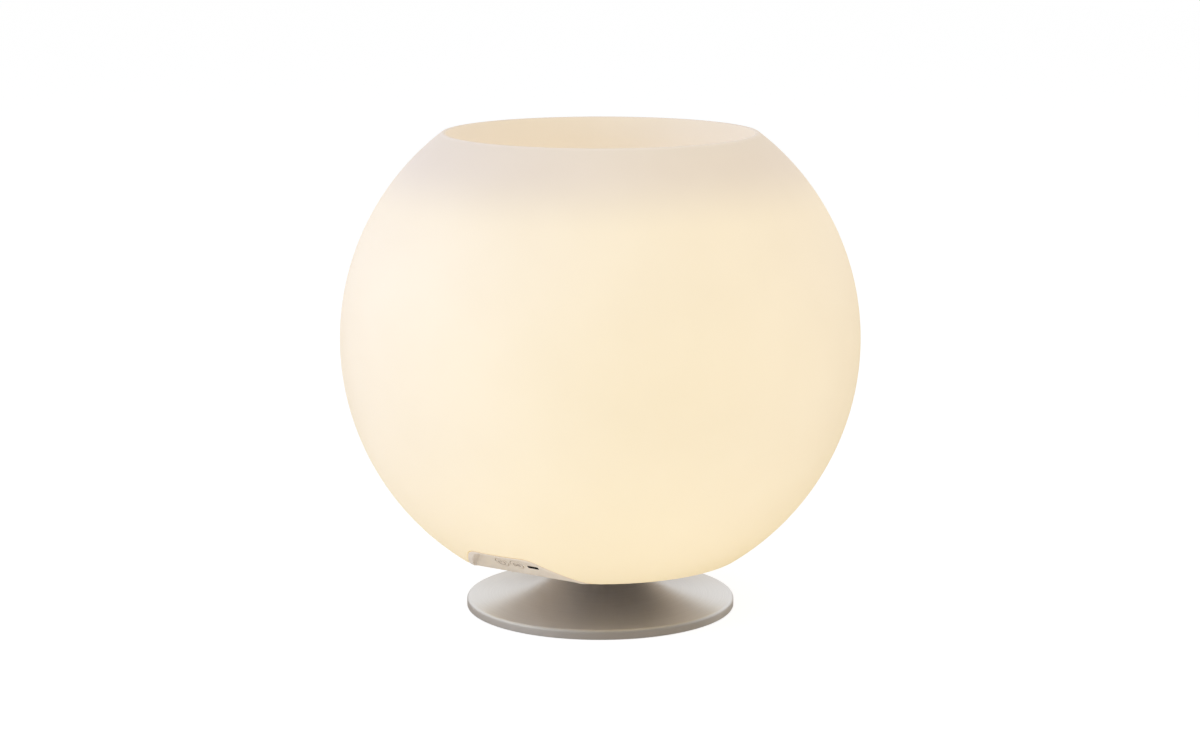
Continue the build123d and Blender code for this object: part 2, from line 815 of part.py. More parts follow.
# Main board on the can's back wall, with its parts facing the speaker
with BuildPart() as main_board:
    with BuildSketch(Plane.XZ.offset(-main_board_back)):
        with Locations((0, main_board_bottom)):
            Rectangle(main_board_width, main_board_height, align=(Align.CENTER, Align.MIN))
        with Locations(*board_boss_places):
            Circle(small_screw[2] + hole_gap, mode=Mode.SUBTRACT)
    extrude(amount=main_board_thickness)

def board_block(size, *places):
    # Blocks that stand on the main board, placed across it and above its lower edge
    with BuildSketch(Plane.XZ.offset(-main_board_depth)) as print_on_board:
        with Locations(*[(x, main_board_bottom + rise) for x, rise in places]):
            Rectangle(size[0], size[1])
    extrude(print_on_board.sketch, amount=size[2])


with BuildPart() as board_components:
    # Radio can, amplifier, choke, lead connectors and two capacitors
    board_block(radio_size, radio_place)
    board_block(amplifier_size, amplifier_place)
    board_block(choke_size, choke_place)
    board_block(connector_size, *connector_places)
    with BuildSketch(Plane.XZ.offset(-main_board_depth)):
        with Locations(*[(x, main_board_bottom + rise) for x, rise in capacitor_places]):
            Circle(capacitor_radius)
    extrude(amount=capacitor_height)

with BuildPart() as main_board_screws:
    seats = [Location((x, main_board_depth, z), (-90, 0, 0)) for x, z in board_boss_places]
    with Locations(*seats):
        screw(small_screw, board_screw_length)

# Speaker driver
with BuildPart() as speaker_gasket:
    washer(baffle_radius - baffle_wall, baffle_radius, baffle_top, speaker_gasket_top)
    with PolarLocations(speaker_screw_radius, speaker_screw_count, start_angle=45):
        with Locations((0, 0, baffle_top)):
            screw_hole(tiny_screw, speaker_gasket_thickness)

roll_outer = roll_radius + surround_thickness / 2
roll_inner = roll_radius - surround_thickness / 2
with BuildPart() as speaker_surround:
    # Half roll between the cone's flange and the frame, bulging forwards
    with BuildSketch(Plane.XZ):
        with Locations((roll_middle, surround_top)):
            Circle(roll_outer)
            Circle(roll_inner, mode=Mode.SUBTRACT)
        with Locations((roll_middle, surround_top)):
            Rectangle(2 * roll_outer, roll_outer, align=(Align.CENTER, Align.MIN), mode=Mode.SUBTRACT)
        with Locations((cone_radius, surround_top)):
            Rectangle(cone_flange, surround_thickness, align=(Align.MIN, Align.MAX))
        with Locations((frame_opening, surround_top)):
            Rectangle(baffle_radius - frame_opening, surround_thickness, align=(Align.MIN, Align.MAX))
    revolve(axis=Axis.Z)
    with PolarLocations(speaker_screw_radius, speaker_screw_count, start_angle=45):
        with Locations((0, 0, speaker_gasket_top)):
            screw_hole(tiny_screw, surround_thickness)

with BuildPart() as speaker_frame:
    # Flange, tapered basket with windows, spider seat and the magnet's plate
    basket_foot = frame_opening + basket_wall
    basket_head = top_plate_radius
    spider_level = surround_top + cone_height + spider_seat
    spider_radius = basket_head - basket_wall
    turned(
        (frame_opening, surround_top),
        (baffle_radius, surround_top),
        (baffle_radius, flange_top),
        (basket_foot, flange_top),
        (basket_head + basket_wall, spider_level),
        (basket_head + basket_wall, top_plate_bottom),
        (coil_radius + air_gap, top_plate_bottom),
        (coil_radius + air_gap, basket_top),
        (basket_head, basket_top),
        (basket_head, spider_level + spider_thickness + basket_wall),
        (spider_radius - basket_wall, spider_level + spider_thickness + basket_wall),
        (spider_radius - basket_wall, spider_level + spider_thickness),
        (basket_head, spider_level + spider_thickness),
        (basket_head, spider_level),
        (frame_opening, flange_top),
    )
    window_height = spider_level - flange_top - 2 * basket_wall
    with PolarLocations(basket_head, basket_windows):
        with Locations((0, 0, flange_top + basket_wall)):
            Box(
                2 * (baffle_radius - basket_head),
                basket_window_width,
                window_height,
                align=(Align.CENTER, Align.CENTER, Align.MIN),
                mode=Mode.SUBTRACT,
            )
    with PolarLocations(speaker_screw_radius, speaker_screw_count, start_angle=45):
        with Locations((0, 0, surround_top)):
            screw_hole(tiny_screw, frame_flange)

with BuildPart() as speaker_screws:
    for turn in range(speaker_screw_count):
        angle = 45 + turn * 360 / speaker_screw_count
        seat = on_circle(speaker_screw_radius, angle, flange_top, (180, 0, 0))
        with Locations(seat):
            screw(tiny_screw, speaker_screw_length)

with BuildPart() as speaker_cone:
    cone_neck = coil_radius + bond_gap
    turned(
        (cone_edge, surround_top),
        (cone_edge, surround_top + cone_thickness),
        (cone_radius, surround_top + cone_thickness),
        (cone_neck, surround_top + cone_thickness + cone_height),
        (cone_neck, surround_top + cone_height),
        (cone_radius, surround_top),
    )

with BuildPart() as dust_cap:
    # Shallow dome glued to the front of the cone
    cone_fall = cone_height / (cone_radius - cone_neck)
    cap_level = surround_top + cone_height - cone_fall * (dust_cap_radius - cone_neck) - bond_gap
    dome_radius = (dust_cap_radius**2 + dust_cap_depth**2) / (2 * dust_cap_depth)
    dome_centre = cap_level - dust_cap_depth + dome_radius
    with BuildSketch(Plane.XZ):
        with Locations((0, dome_centre)):
            Circle(dome_radius)
            Circle(dome_radius - cone_thickness, mode=Mode.SUBTRACT)
        with Locations((0, cap_level - dust_cap_depth)):
            Rectangle(
                dust_cap_radius,
                dust_cap_depth,
                align=(Align.MIN, Align.MIN),
                mode=Mode.INTERSECT,
            )
    revolve(axis=Axis.Z)

with BuildPart() as voice_coil:
    coil_bottom = surround_top + cone_height
    washer(coil_radius - coil_wall, coil_radius, coil_bottom, magnet_bottom + cone_travel)

with BuildPart() as speaker_spider:
    # Corrugated disc that keeps the coil centred
    spider_inner = coil_radius + slide_gap
    wave_length = (spider_radius - basket_wall - spider_inner) / spider_waves
    lower = []
    for wave in range(spider_waves):
        crest = spider_inner + wave * wave_length
        lower.append((crest, spider_level))
        lower.append((crest + wave_length / 2, spider_level - spider_wave_depth))
    lower.append((spider_radius - basket_wall, spider_level))
    lower.append((basket_head - hole_gap, spider_level))
    upper = [(r, z + spider_thickness) for r, z in reversed(lower)]
    turned(*lower, *upper)

with BuildPart() as top_plate:
    washer(coil_radius + air_gap, top_plate_radius, top_plate_bottom, magnet_bottom)

with BuildPart() as magnet_ring:
    washer(magnet_bore, magnet_radius, magnet_bottom, yoke_bottom)

with BuildPart() as yoke:
    pole_radius = coil_radius - coil_wall - air_gap
    turned(
        (0, top_plate_bottom),
        (pole_radius, top_plate_bottom),
        (pole_radius, yoke_bottom),
        (top_plate_radius, yoke_bottom),
        (top_plate_radius, yoke_top),
        (0, yoke_top),
    )

with BuildPart() as grille_mesh:
    mesh_outer = baffle_radius - baffle_wall - part_gap
    washer(hub_radius + part_gap, mesh_outer, floor_top, floor_top + mesh_thickness)

pieces = {
    "globe_shade": globe_shade,
    "ice_bucket": ice_bucket,
    "bucket_pad": bucket_pad,
    "foot": foot,
    "foot_pad": foot_pad,
    "foot_screws": foot_screws,
    "bottom_housing": bottom_housing,
    "housing_gasket": housing_gasket,
    "housing_screws": housing_screws,
    "control_panel": control_panel,
    "panel_screws": panel_screws,
    "light_button": light_button,
    "sound_button": sound_button,
    "light_plunger": light_plunger,
    "sound_plunger": sound_plunger,
    "switch_bodies": switch_bodies,
    "control_board": control_board,
    "control_board_screws": control_board_screws,
    "charge_socket_shell": charge_socket_shell,
    "charge_socket_tongue": charge_socket_tongue,
    "module_cover": module_cover,
    "cover_gasket": cover_gasket,
    "cover_screws": cover_screws,
    "led_board": led_board,
    "led_screws": led_screws,
    "leds": leds,
    "light_ring": light_ring,
    "battery_cells": battery_cells,
    "battery_pads": battery_pads,
    "main_board": main_board,
    "board_components": board_components,
    "main_board_screws": main_board_screws,
    "speaker_gasket": speaker_gasket,
    "speaker_surround": speaker_surround,
    "speaker_frame": speaker_frame,
    "speaker_screws": speaker_screws,
    "speaker_cone": speaker_cone,
    "dust_cap": dust_cap,
    "voice_coil": voice_coil,
    "speaker_spider": speaker_spider,
    "top_plate": top_plate,
    "magnet_ring": magnet_ring,
    "yoke": yoke,
    "grille_mesh": grille_mesh,
}
for name, piece in pieces.items():
    piece.part.label = name
    export_step(piece.part, f"parts/{name}.step")
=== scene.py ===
import json
import math

import bmesh
import bpy
import numpy as np
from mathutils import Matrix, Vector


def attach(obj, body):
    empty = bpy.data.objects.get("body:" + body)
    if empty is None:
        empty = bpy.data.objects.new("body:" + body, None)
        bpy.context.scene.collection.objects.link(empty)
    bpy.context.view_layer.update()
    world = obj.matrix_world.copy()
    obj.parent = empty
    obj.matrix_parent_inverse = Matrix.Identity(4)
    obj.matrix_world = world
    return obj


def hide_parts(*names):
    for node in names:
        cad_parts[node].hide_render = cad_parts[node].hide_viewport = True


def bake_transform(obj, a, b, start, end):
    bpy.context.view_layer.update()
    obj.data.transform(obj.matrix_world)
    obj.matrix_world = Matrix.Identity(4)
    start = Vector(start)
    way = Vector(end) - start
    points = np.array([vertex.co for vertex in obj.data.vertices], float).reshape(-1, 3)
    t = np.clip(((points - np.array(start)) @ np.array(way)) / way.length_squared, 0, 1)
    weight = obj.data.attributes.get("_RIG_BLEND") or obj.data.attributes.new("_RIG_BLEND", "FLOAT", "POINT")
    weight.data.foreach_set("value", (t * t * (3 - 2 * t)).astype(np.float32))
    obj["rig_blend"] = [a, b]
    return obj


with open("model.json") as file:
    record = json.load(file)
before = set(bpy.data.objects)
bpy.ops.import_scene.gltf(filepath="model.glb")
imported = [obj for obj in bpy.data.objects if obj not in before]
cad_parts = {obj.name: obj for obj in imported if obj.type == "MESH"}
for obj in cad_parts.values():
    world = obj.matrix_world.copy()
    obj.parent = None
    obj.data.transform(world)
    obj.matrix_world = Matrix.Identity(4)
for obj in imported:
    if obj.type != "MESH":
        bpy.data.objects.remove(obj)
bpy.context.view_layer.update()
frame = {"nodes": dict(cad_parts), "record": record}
mm = 0.001
joinWithin = 0.002 * mm  # corners of a solid's loose triangles closer than this are one
print("frame loaded with", len(frame["nodes"]), "nodes")

# Camera: fitted to the ball, its mouth and the foot's circles
camera = dict(
    azimuth=33.5,  # the panel faces -Y, so the camera stands to its right
    distance=1.6325,
    height=0.4542,
    tilt=79.10,
    lens=83.24,
    shift=-0.00025,
)
turnOfCamera = math.radians(camera["azimuth"])
lensData = bpy.data.cameras.new("photoCamera")
lensData.sensor_width = 36.0
lensData.lens = camera["lens"]
lensData.shift_x = camera["shift"]
photoCamera = bpy.data.objects.new("photoCamera", lensData)
photoCamera.location = (
    math.sin(turnOfCamera) * camera["distance"],
    -math.cos(turnOfCamera) * camera["distance"],
    camera["height"],
)
photoCamera.rotation_euler = (math.radians(camera["tilt"]), 0, turnOfCamera)
bpy.context.collection.objects.link(photoCamera)
bpy.context.scene.camera = photoCamera
bpy.context.scene.view_settings.view_transform = "Standard"
print("camera set")


# Signed volume of closed faces: a sixth of the sum of corner a . (b x c) over their triangles
def signedVolume(points, faces):
    total = 0.0
    for second in range(1, faces.shape[1] - 1):
        a = points[faces[:, 0]]
        b = points[faces[:, second]]
        c = points[faces[:, second + 1]]
        total += np.einsum("ij,ij->i", a, np.cross(b, c)).sum()
    return total / 6


# Grid surface: point (row, column) joins its neighbours in quads. Columns run round and close;
# rows close too on a tube, or end in a fan of triangles at a pole.
def gridFaces(rows, columns, closedRows, firstPole, lastPole):
    index = np.arange(rows * columns).reshape(rows, columns)
    upper = np.roll(index, -1, axis=0) if closedRows else index[1:]
    lower = index if closedRows else index[:-1]
    quads = np.stack(
        [lower, np.roll(lower, -1, axis=1), np.roll(upper, -1, axis=1), upper], -1
    ).reshape(-1, 4)
    fans = []
    if firstPole is not None:
        ring = index[0]
        fans.append(np.stack([np.full(columns, firstPole), np.roll(ring, -1), ring], -1))
    if lastPole is not None:
        ring = index[-1]
        fans.append(np.stack([np.full(columns, lastPole), ring, np.roll(ring, -1)], -1))
    return quads, fans


# Puts points (mm) and faces into a mesh object in metres, turned outwards if its volume is negative
def placeMesh(name, points, quads, fans=(), smooth=True):
    volume = signedVolume(points, quads) + sum(signedVolume(points, fan) for fan in fans)
    if volume < 0:
        quads = quads[:, ::-1]
        fans = [fan[:, ::-1] for fan in fans]
    faces = quads.tolist()
    for fan in fans:
        faces += fan.tolist()
    mesh = bpy.data.meshes.new(name)
    mesh.from_pydata((points * mm).tolist(), [], faces)
    mesh.polygons.foreach_set("use_smooth", np.full(len(mesh.polygons), smooth))
    mesh.update()
    piece = bpy.data.objects.new(name, mesh)
    bpy.context.collection.objects.link(piece)
    return piece


# Rounded profile: each corner of a polyline is replaced by an arc that touches both of its
# sides at round * tan(half the turn) from the corner
def roundedProfile(corners, rounds, steps=6, straight=math.radians(179.3)):
    corners = np.array(corners, float)
    parts = [corners[:1]]
    for before, corner, after, radius in zip(corners[:-2], corners[1:-1], corners[2:], rounds):
        inward = (before - corner) / np.linalg.norm(before - corner)
        outward = (after - corner) / np.linalg.norm(after - corner)
        opening = math.acos(np.clip(inward @ outward, -1, 1))
        if radius <= 0 or opening > straight:
            parts.append(corner[None])
            continue
        reach = radius / math.tan(opening / 2)
        bisector = (inward + outward) / np.linalg.norm(inward + outward)
        middle = corner + bisector * radius / math.sin(opening / 2)
        start = corner + inward * reach - middle
        end = corner + outward * reach - middle
        sweep = math.pi - opening
        share = np.linspace(0, 1, steps + 1)[:, None]
        arc = (np.sin((1 - share) * sweep) * start + np.sin(share * sweep) * end) / math.sin(sweep)
        parts.append(middle + arc)
    parts.append(corners[-1:])
    return np.concatenate(parts)


# Profile with long runs divided, so that no run is longer than longest
def divided(profile, longest):
    parts = []
    for start, end in zip(profile[:-1], profile[1:]):
        count = max(1, int(math.ceil(np.linalg.norm(end - start) / longest)))
        parts.append(start + (end - start) * (np.arange(count) / count)[:, None])
    return np.concatenate(parts + [profile[-1:]])


# Turned piece: profile (radius, height) goes round the upright axis,
# x = radius * cos(angle), y = radius * sin(angle), z = height; both ends lie on the axis
def turnedPiece(name, profile, columns):
    angle = np.arange(columns) * (2 * math.pi / columns)
    body = profile[1:-1]
    radius = body[:, :1]
    height = np.repeat(body[:, 1:], columns, axis=1)
    points = np.stack([radius * np.cos(angle), radius * np.sin(angle), height], -1).reshape(-1, 3)
    poles = np.array([[0, 0, profile[0, 1]], [0, 0, profile[-1, 1]]])
    count = len(points)
    quads, fans = gridFaces(len(body), columns, False, count, count + 1)
    return placeMesh(name, np.concatenate([points, poles]), quads, fans)


# Joined copy of a solid: its loose triangles with the corners that coincide made one, as a bmesh to work on
def joinedCopy(node):
    shape = bmesh.new()
    shape.from_mesh(frame["nodes"][node].data)
    bmesh.ops.remove_doubles(shape, verts=shape.verts, dist=joinWithin)
    return shape


# Mesh object from such a copy, which is then freed
def placeShape(name, shape):
    mesh = bpy.data.meshes.new(name)
    shape.to_mesh(mesh)
    shape.free()
    piece = bpy.data.objects.new(name, mesh)
    bpy.context.collection.objects.link(piece)
    return piece


# Material nodes: a node with its inputs set from keywords, links from other nodes' outputs
def addNode(tree, kind, settings=None, **inputs):
    node = tree.nodes.new(kind)
    for key, value in (settings or {}).items():
        setattr(node, key, value)
    for key, value in inputs.items():
        socket = node.inputs[key.replace("_", " ")]
        if isinstance(value, bpy.types.NodeSocket):
            tree.links.new(value, socket)
        else:
            socket.default_value = value
    return node


# Empty material: a Principled shader into the output, and the Object coordinates to drive it
def newMaterial(name):
    material = bpy.data.materials.new(name)
    material.use_nodes = True
    tree = material.node_tree
    tree.nodes.clear()
    output = tree.nodes.new("ShaderNodeOutputMaterial")
    shader = tree.nodes.new("ShaderNodeBsdfPrincipled")
    tree.links.new(shader.outputs["BSDF"], output.inputs["Surface"])
    place = tree.nodes.new("ShaderNodeTexCoord").outputs["Object"]
    return material, tree, shader, place


# Two-stop ramp between two linear colours
def ramp(tree, factor, low, high, start=0.3, end=0.7):
    node = addNode(tree, "ShaderNodeValToRGB", Fac=factor)
    node.color_ramp.elements[0].position = start
    node.color_ramp.elements[0].color = (*low, 1)
    node.color_ramp.elements[1].position = end
    node.color_ramp.elements[1].color = (*high, 1)
    return node.outputs["Color"]


# Noise from 0 to 1 at a place
def noise(tree, place, scale, detail=2.0):
    return addNode(tree, "ShaderNodeTexNoise", Vector=place, Scale=scale, Detail=detail).outputs["Fac"]


# Roughness between two limits by one value, and a lift of the surface by another
def roughenAndLift(tree, shader, rough, limits, height, lift, strength=0.5):
    level = addNode(tree, "ShaderNodeMapRange", Value=rough, To_Min=limits[0], To_Max=limits[1])
    tree.links.new(level.outputs["Result"], shader.inputs["Roughness"])
    bump = addNode(tree, "ShaderNodeBump", Height=height, Strength=strength, Distance=lift)
    tree.links.new(bump.outputs["Normal"], shader.inputs["Normal"])


# Distance to the upright axis: the length of (x, y, 0)
def awayFromAxis(tree, place):
    parts = addNode(tree, "ShaderNodeSeparateXYZ", Vector=place)
    flat = addNode(tree, "ShaderNodeCombineXYZ", X=parts.outputs["X"], Y=parts.outputs["Y"])
    away = addNode(tree, "ShaderNodeVectorMath", {"operation": "LENGTH"})
    tree.links.new(flat.outputs["Vector"], away.inputs[0])
    return away.outputs["Value"]


# General finish: two tones mixed by a noise on Object coordinates, roughness between two limits by
# the same noise, and a fine grain that lifts the surface
def plainFinish(name, low, high, patch=60.0, grain=900.0, roughness=(0.4, 0.55), lift=0.00004, **sockets):
    material, tree, shader, place = newMaterial(name)
    cloud = noise(tree, place, patch, detail=4.0)
    tree.links.new(ramp(tree, cloud, low, high), shader.inputs["Base Color"])
    roughenAndLift(tree, shader, cloud, roughness, noise(tree, place, grain), lift)
    for key, value in sockets.items():
        shader.inputs[key.replace("_", " ")].default_value = value
    return material


# Opal finish: satin milk-white wall, tones and roughness from a noise, plus the lamp's warm glow, a colour
# ramp over height that fades in the unlit collar
def opalFinish(name, look):
    material, tree, shader, place = newMaterial(name)
    cloud = noise(tree, place, look["patch"], detail=3.0)
    tree.links.new(ramp(tree, cloud, look["low"], look["high"]), shader.inputs["Base Color"])
    fine = noise(tree, place, look["grain"])
    roughenAndLift(tree, shader, cloud, look["roughness"], fine, look["lift"], strength=0.4)
    height = addNode(tree, "ShaderNodeSeparateXYZ", Vector=place).outputs["Z"]
    level = addNode(
        tree, "ShaderNodeMapRange", Value=height, From_Min=look["glowFrom"], From_Max=look["glowTo"]
    )
    stops = addNode(tree, "ShaderNodeValToRGB", Fac=level.outputs["Result"])
    glowRamp = stops.color_ramp
    glowRamp.interpolation = "EASE"
    for stop, (position, colour) in enumerate(look["glow"]):
        element = glowRamp.elements[stop] if stop < 2 else glowRamp.elements.new(position)
        element.position = position
        element.color = (*colour, 1)
    tree.links.new(stops.outputs["Color"], shader.inputs["Emission Color"])
    shader.inputs["Emission Strength"].default_value = 1.0
    shader.inputs["Specular IOR Level"].default_value = look["gloss"]
    return material


# Opal ball, open at the top, cut flat below and notched for the panel
globe = dict(
    radius=154.94,
    wall=2.5,
    centre=163.702,
    rimLand=1.8,
    rimTop=287.32,
    underside=35.2,
    cornerReach=0.6,
    notchTop=53.3,
    notchTopHalf=20.8,
    notchFootHalf=42.2,
    notchRounds=(14.0, 14.0),
    notchSteps=24,
    notchRun=0.5,  # longest straight run in the notch's outline
    notchSpan=math.radians(36),
    notchColumns=200,
    plainColumns=240,
    outerRows=92,
    innerRows=40,
    cornerRows=5,
)


# Height of the ball's lower edge at angles from the front: half the notch's outline (across, height) gives
# each height its angle, asin(across / the wall's reach at that height), and the angles are looked up in it
def notchHeights(angles, radius):
    outline = roundedProfile(
        [
            (0, globe["notchTop"]),
            (globe["notchTopHalf"], globe["notchTop"]),
            (globe["notchFootHalf"], globe["underside"]),
            (2 * globe["notchFootHalf"], globe["underside"]),
        ],
        globe["notchRounds"],
        globe["notchSteps"],
    )
    outline = divided(outline, globe["notchRun"])
    reach = np.sqrt(radius**2 - (outline[:, 1] - globe["centre"]) ** 2)
    away = np.arcsin(np.clip(outline[:, 0] / reach, 0, 1))
    return np.interp(np.abs(angles), away, outline[:, 1])


# Wall points (radius * sin, centre + radius * cos) of the angle from the top, in rows from start to end
def wallArc(radius, start, end, rows):
    share = np.linspace(0, 1, rows)[:, None]
    polar = start + (end - start) * share
    return np.stack([radius * np.sin(polar), globe["centre"] + radius * np.cos(polar)], -1)


# Rounded corner: the curve (1-t)^2 A + 2t(1-t) C + t^2 B from A before to B after the corner C
def softCorner(before, corner, after, rows):
    t = np.linspace(0, 1, rows + 2)[1:-1, None, None]
    return (1 - t) ** 2 * before + 2 * t * (1 - t) * corner + t**2 * after


# Point at a distance from start on the line to end: start + (end - start) * distance / length
def towards(start, end, distance):
    run = end - start
    return start + run * (distance / np.linalg.norm(run, axis=-1, keepdims=True))


# In each meridian column the section goes up the outer wall, over the rim, down the inner wall and back
# across the cut edge; x = radius * sin(angle), y = -radius * cos(angle), with 0 at the front
def opalGlobe():
    span = globe["notchSpan"]
    angles = np.concatenate(
        [
            np.linspace(-span, span, globe["notchColumns"], endpoint=False),
            np.linspace(span, 2 * math.pi - span, globe["plainColumns"], endpoint=False),
        ]
    )
    offFront = (angles + math.pi) % (2 * math.pi) - math.pi
    outer = globe["radius"]
    inner = outer - globe["wall"]
    reach = globe["cornerReach"]
    rows = globe["cornerRows"]
    lowOuter = np.arccos((notchHeights(offFront, outer) - globe["centre"]) / outer)
    lowInner = np.arccos((notchHeights(offFront, inner) - globe["centre"]) / inner)
    rimOuter = np.full_like(lowOuter, math.acos((globe["rimTop"] - globe["centre"]) / outer))
    bore = outer * math.sin(rimOuter[0]) - globe["rimLand"]
    landInner = np.full_like(lowInner, math.asin(bore / inner))
    outerArc = wallArc(outer, lowOuter - reach / outer, rimOuter + reach / outer, globe["outerRows"])
    innerArc = wallArc(inner, landInner, lowInner - reach / inner, globe["innerRows"])
    footOuter = wallArc(outer, lowOuter, lowOuter, 1)
    footInner = wallArc(inner, lowInner, lowInner, 1)
    rimEdge = wallArc(outer, rimOuter, rimOuter, 1)
    boreEdge = np.stack([np.full_like(rimEdge[..., 0], bore), rimEdge[..., 1]], -1)
    boreFoot = innerArc[:1]
    rimInner = towards(boreEdge, rimEdge, reach)
    section = np.concatenate(
        [
            outerArc,
            softCorner(outerArc[-1:], rimEdge, towards(rimEdge, boreEdge, reach), rows),
            towards(rimEdge, boreEdge, reach),
            rimInner,
            softCorner(rimInner, boreEdge, towards(boreEdge, boreFoot, reach), rows),
            towards(boreEdge, boreFoot, reach),
            innerArc,
            softCorner(innerArc[-1:], footInner, towards(footInner, footOuter, reach), rows),
            towards(footInner, footOuter, reach),
            towards(footOuter, footInner, reach),
            softCorner(towards(footOuter, footInner, reach), footOuter, outerArc[:1], rows),
        ]
    )
    radius = section[..., 0]
    points = np.stack([radius * np.sin(angles), -radius * np.cos(angles), section[..., 1]], -1)
    quads, _ = gridFaces(len(section), len(angles), True, None, None)
    return placeMesh("opalGlobe", points.reshape(-1, 3), quads)


globeLook = dict(
    low=(0.60, 0.55, 0.53),
    high=(0.64, 0.59, 0.57),
    patch=9.0,
    grain=1400.0,
    roughness=(0.45, 0.53),
    lift=0.00002,
    gloss=0.22,
    glowFrom=0.035,
    glowTo=0.288,
    glow=[
        (0.0, (0.42, 0.32, 0.11)),
        (0.45, (0.36, 0.27, 0.085)),
        (0.82, (0.34, 0.255, 0.085)),
        (0.955, (0.215, 0.145, 0.045)),
        (0.993, (0.215, 0.15, 0.05)),
        (0.9965, (0.24, 0.18, 0.09)),  # the rim passes on light from inside the wall
    ],
)
opalShell = opalFinish("satinOpalShell", globeLook)
globePiece = opalGlobe()
globePiece.data.materials.append(opalShell)
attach(globePiece, "lamp")
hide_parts("globe_shade")
print("opal ball made:", len(globePiece.data.polygons), "faces")

# Ledge inside the ball for the housing's screws
ledge = dict(bore=72.02, bottom=40.2, top=45.2, clear=0.05, gapHalf=math.radians(31.5), columns=160)


# A four-sided section (radius, height) is carried round the inner wall on a circle, x = radius * sin(angle),
# y = -radius * cos(angle), open where the notch is, with both ends closed
def globeLedge():
    inner = globe["radius"] - globe["wall"] - ledge["clear"]
    wall = [math.sqrt(inner**2 - (z - globe["centre"]) ** 2) for z in (ledge["bottom"], ledge["top"])]
    section = np.array(
        [
            (ledge["bore"], ledge["bottom"]),
            (wall[0], ledge["bottom"]),
            (wall[1], ledge["top"]),
            (ledge["bore"], ledge["top"]),
        ]
    )
    angles = np.linspace(ledge["gapHalf"], 2 * math.pi - ledge["gapHalf"], ledge["columns"])
    radius = section[:, :1]
    height = np.repeat(section[:, 1:], len(angles), axis=1)
    points = np.stack([radius * np.sin(angles), -radius * np.cos(angles), height], -1)
    index = np.arange(points.shape[0] * points.shape[1]).reshape(points.shape[:2])
    ahead = np.roll(index, -1, axis=0)
    quads = np.stack([index[:, :-1], index[:, 1:], ahead[:, 1:], ahead[:, :-1]], -1).reshape(-1, 4)
    ends = np.stack([index[:, 0], index[::-1, -1]])
    return placeMesh("globeLedge", points.reshape(-1, 3), np.concatenate([quads, ends]), smooth=False)


ledgePiece = globeLedge()
ledgePiece.data.materials.append(opalShell)
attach(ledgePiece, "lamp")

# Ice bucket: turned liner with a tapered wall and a fine lip
bucket = dict(
    bottom=99.7,
    floor=101.9,
    floorRadius=72.0,
    wall=2.2,
    lipRadius=91.6,
    taperTop=275.02,
    lipTop=287.02,
    lipEdge=0.4,
    lipRound=0.12,
    taperRound=4.0,
    floorRound=35.0,
    roundSteps=12,
    longestRun=6.0,
    columns=240,
)


# The profile (radius, height) goes from the outer bottom up to the lip and down the inside to the floor,
# with an arc at each corner, and is turned about the upright axis
def bucketLiner():
    bore = bucket["lipRadius"] - bucket["wall"]
    profile = roundedProfile(
        [
            (0, bucket["bottom"]),
            (bucket["floorRadius"], bucket["bottom"]),
            (bucket["lipRadius"], bucket["taperTop"]),
            (bucket["lipRadius"], bucket["lipTop"]),
            (bucket["lipRadius"] - bucket["lipEdge"], bucket["lipTop"]),
            (bore, bucket["taperTop"]),
            (bucket["floorRadius"] - bucket["wall"], bucket["floor"]),
            (0, bucket["floor"]),
        ],
        [
            bucket["floorRound"],
            bucket["taperRound"],
            bucket["lipRound"],
            bucket["lipRound"],
            bucket["taperRound"],
            bucket["floorRound"] - bucket["wall"],
        ],
        bucket["roundSteps"],
    )
    return turnedPiece("bucketLiner", divided(profile, bucket["longestRun"]), bucket["columns"])


bucketLook = dict(
    low=(0.62, 0.57, 0.49),
    high=(0.66, 0.61, 0.53),
    patch=11.0,
    grain=1200.0,
    roughness=(0.4, 0.5),
    lift=0.00002,
    gloss=0.35,
    glowFrom=0.10,
    glowTo=0.288,
    glow=[
        (0.0, (0.30, 0.235, 0.11)),
        (0.50, (0.27, 0.205, 0.11)),
        (0.80, (0.325, 0.262, 0.195)),
        (0.97, (0.225, 0.175, 0.125)),
    ],
)
opalLiner = opalFinish("satinOpalLiner", bucketLook)
bucketPiece = bucketLiner()
bucketPiece.data.materials.append(opalLiner)
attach(bucketPiece, "lamp")
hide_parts("ice_bucket")
print("ice bucket made")

# Foot: turned trumpet with a recess and a well below
foot = dict(
    radius=80.9,
    edgeLow=0.3,
    edgeTop=6.1,
    edgeRound=2.0,
    edgeLand=0.01,  # short run kept between the flare and the edge's round
    lowerRound=0.5,
    neckRadius=20.0,
    neckFoot=33.7,
    neckTop=35.2,
    spigotRadius=15.0,
    spigotTop=37.2,
    topRounds=(0.4, 0.1, 0.3),  # spigot's edge, spigot's foot, neck's edge
    topSteps=4,
    recessRadius=74.1,
    recessTop=2.0,
    wellRadius=14.0,
    wellTop=28.2,
    belowRounds=(0.15, 0.1, 0.5, 0.1),  # recess's edge and corner, well's edge and corner
    edgeSteps=8,
    longestRun=4.0,
    flareRows=72,
    columns=288,
)


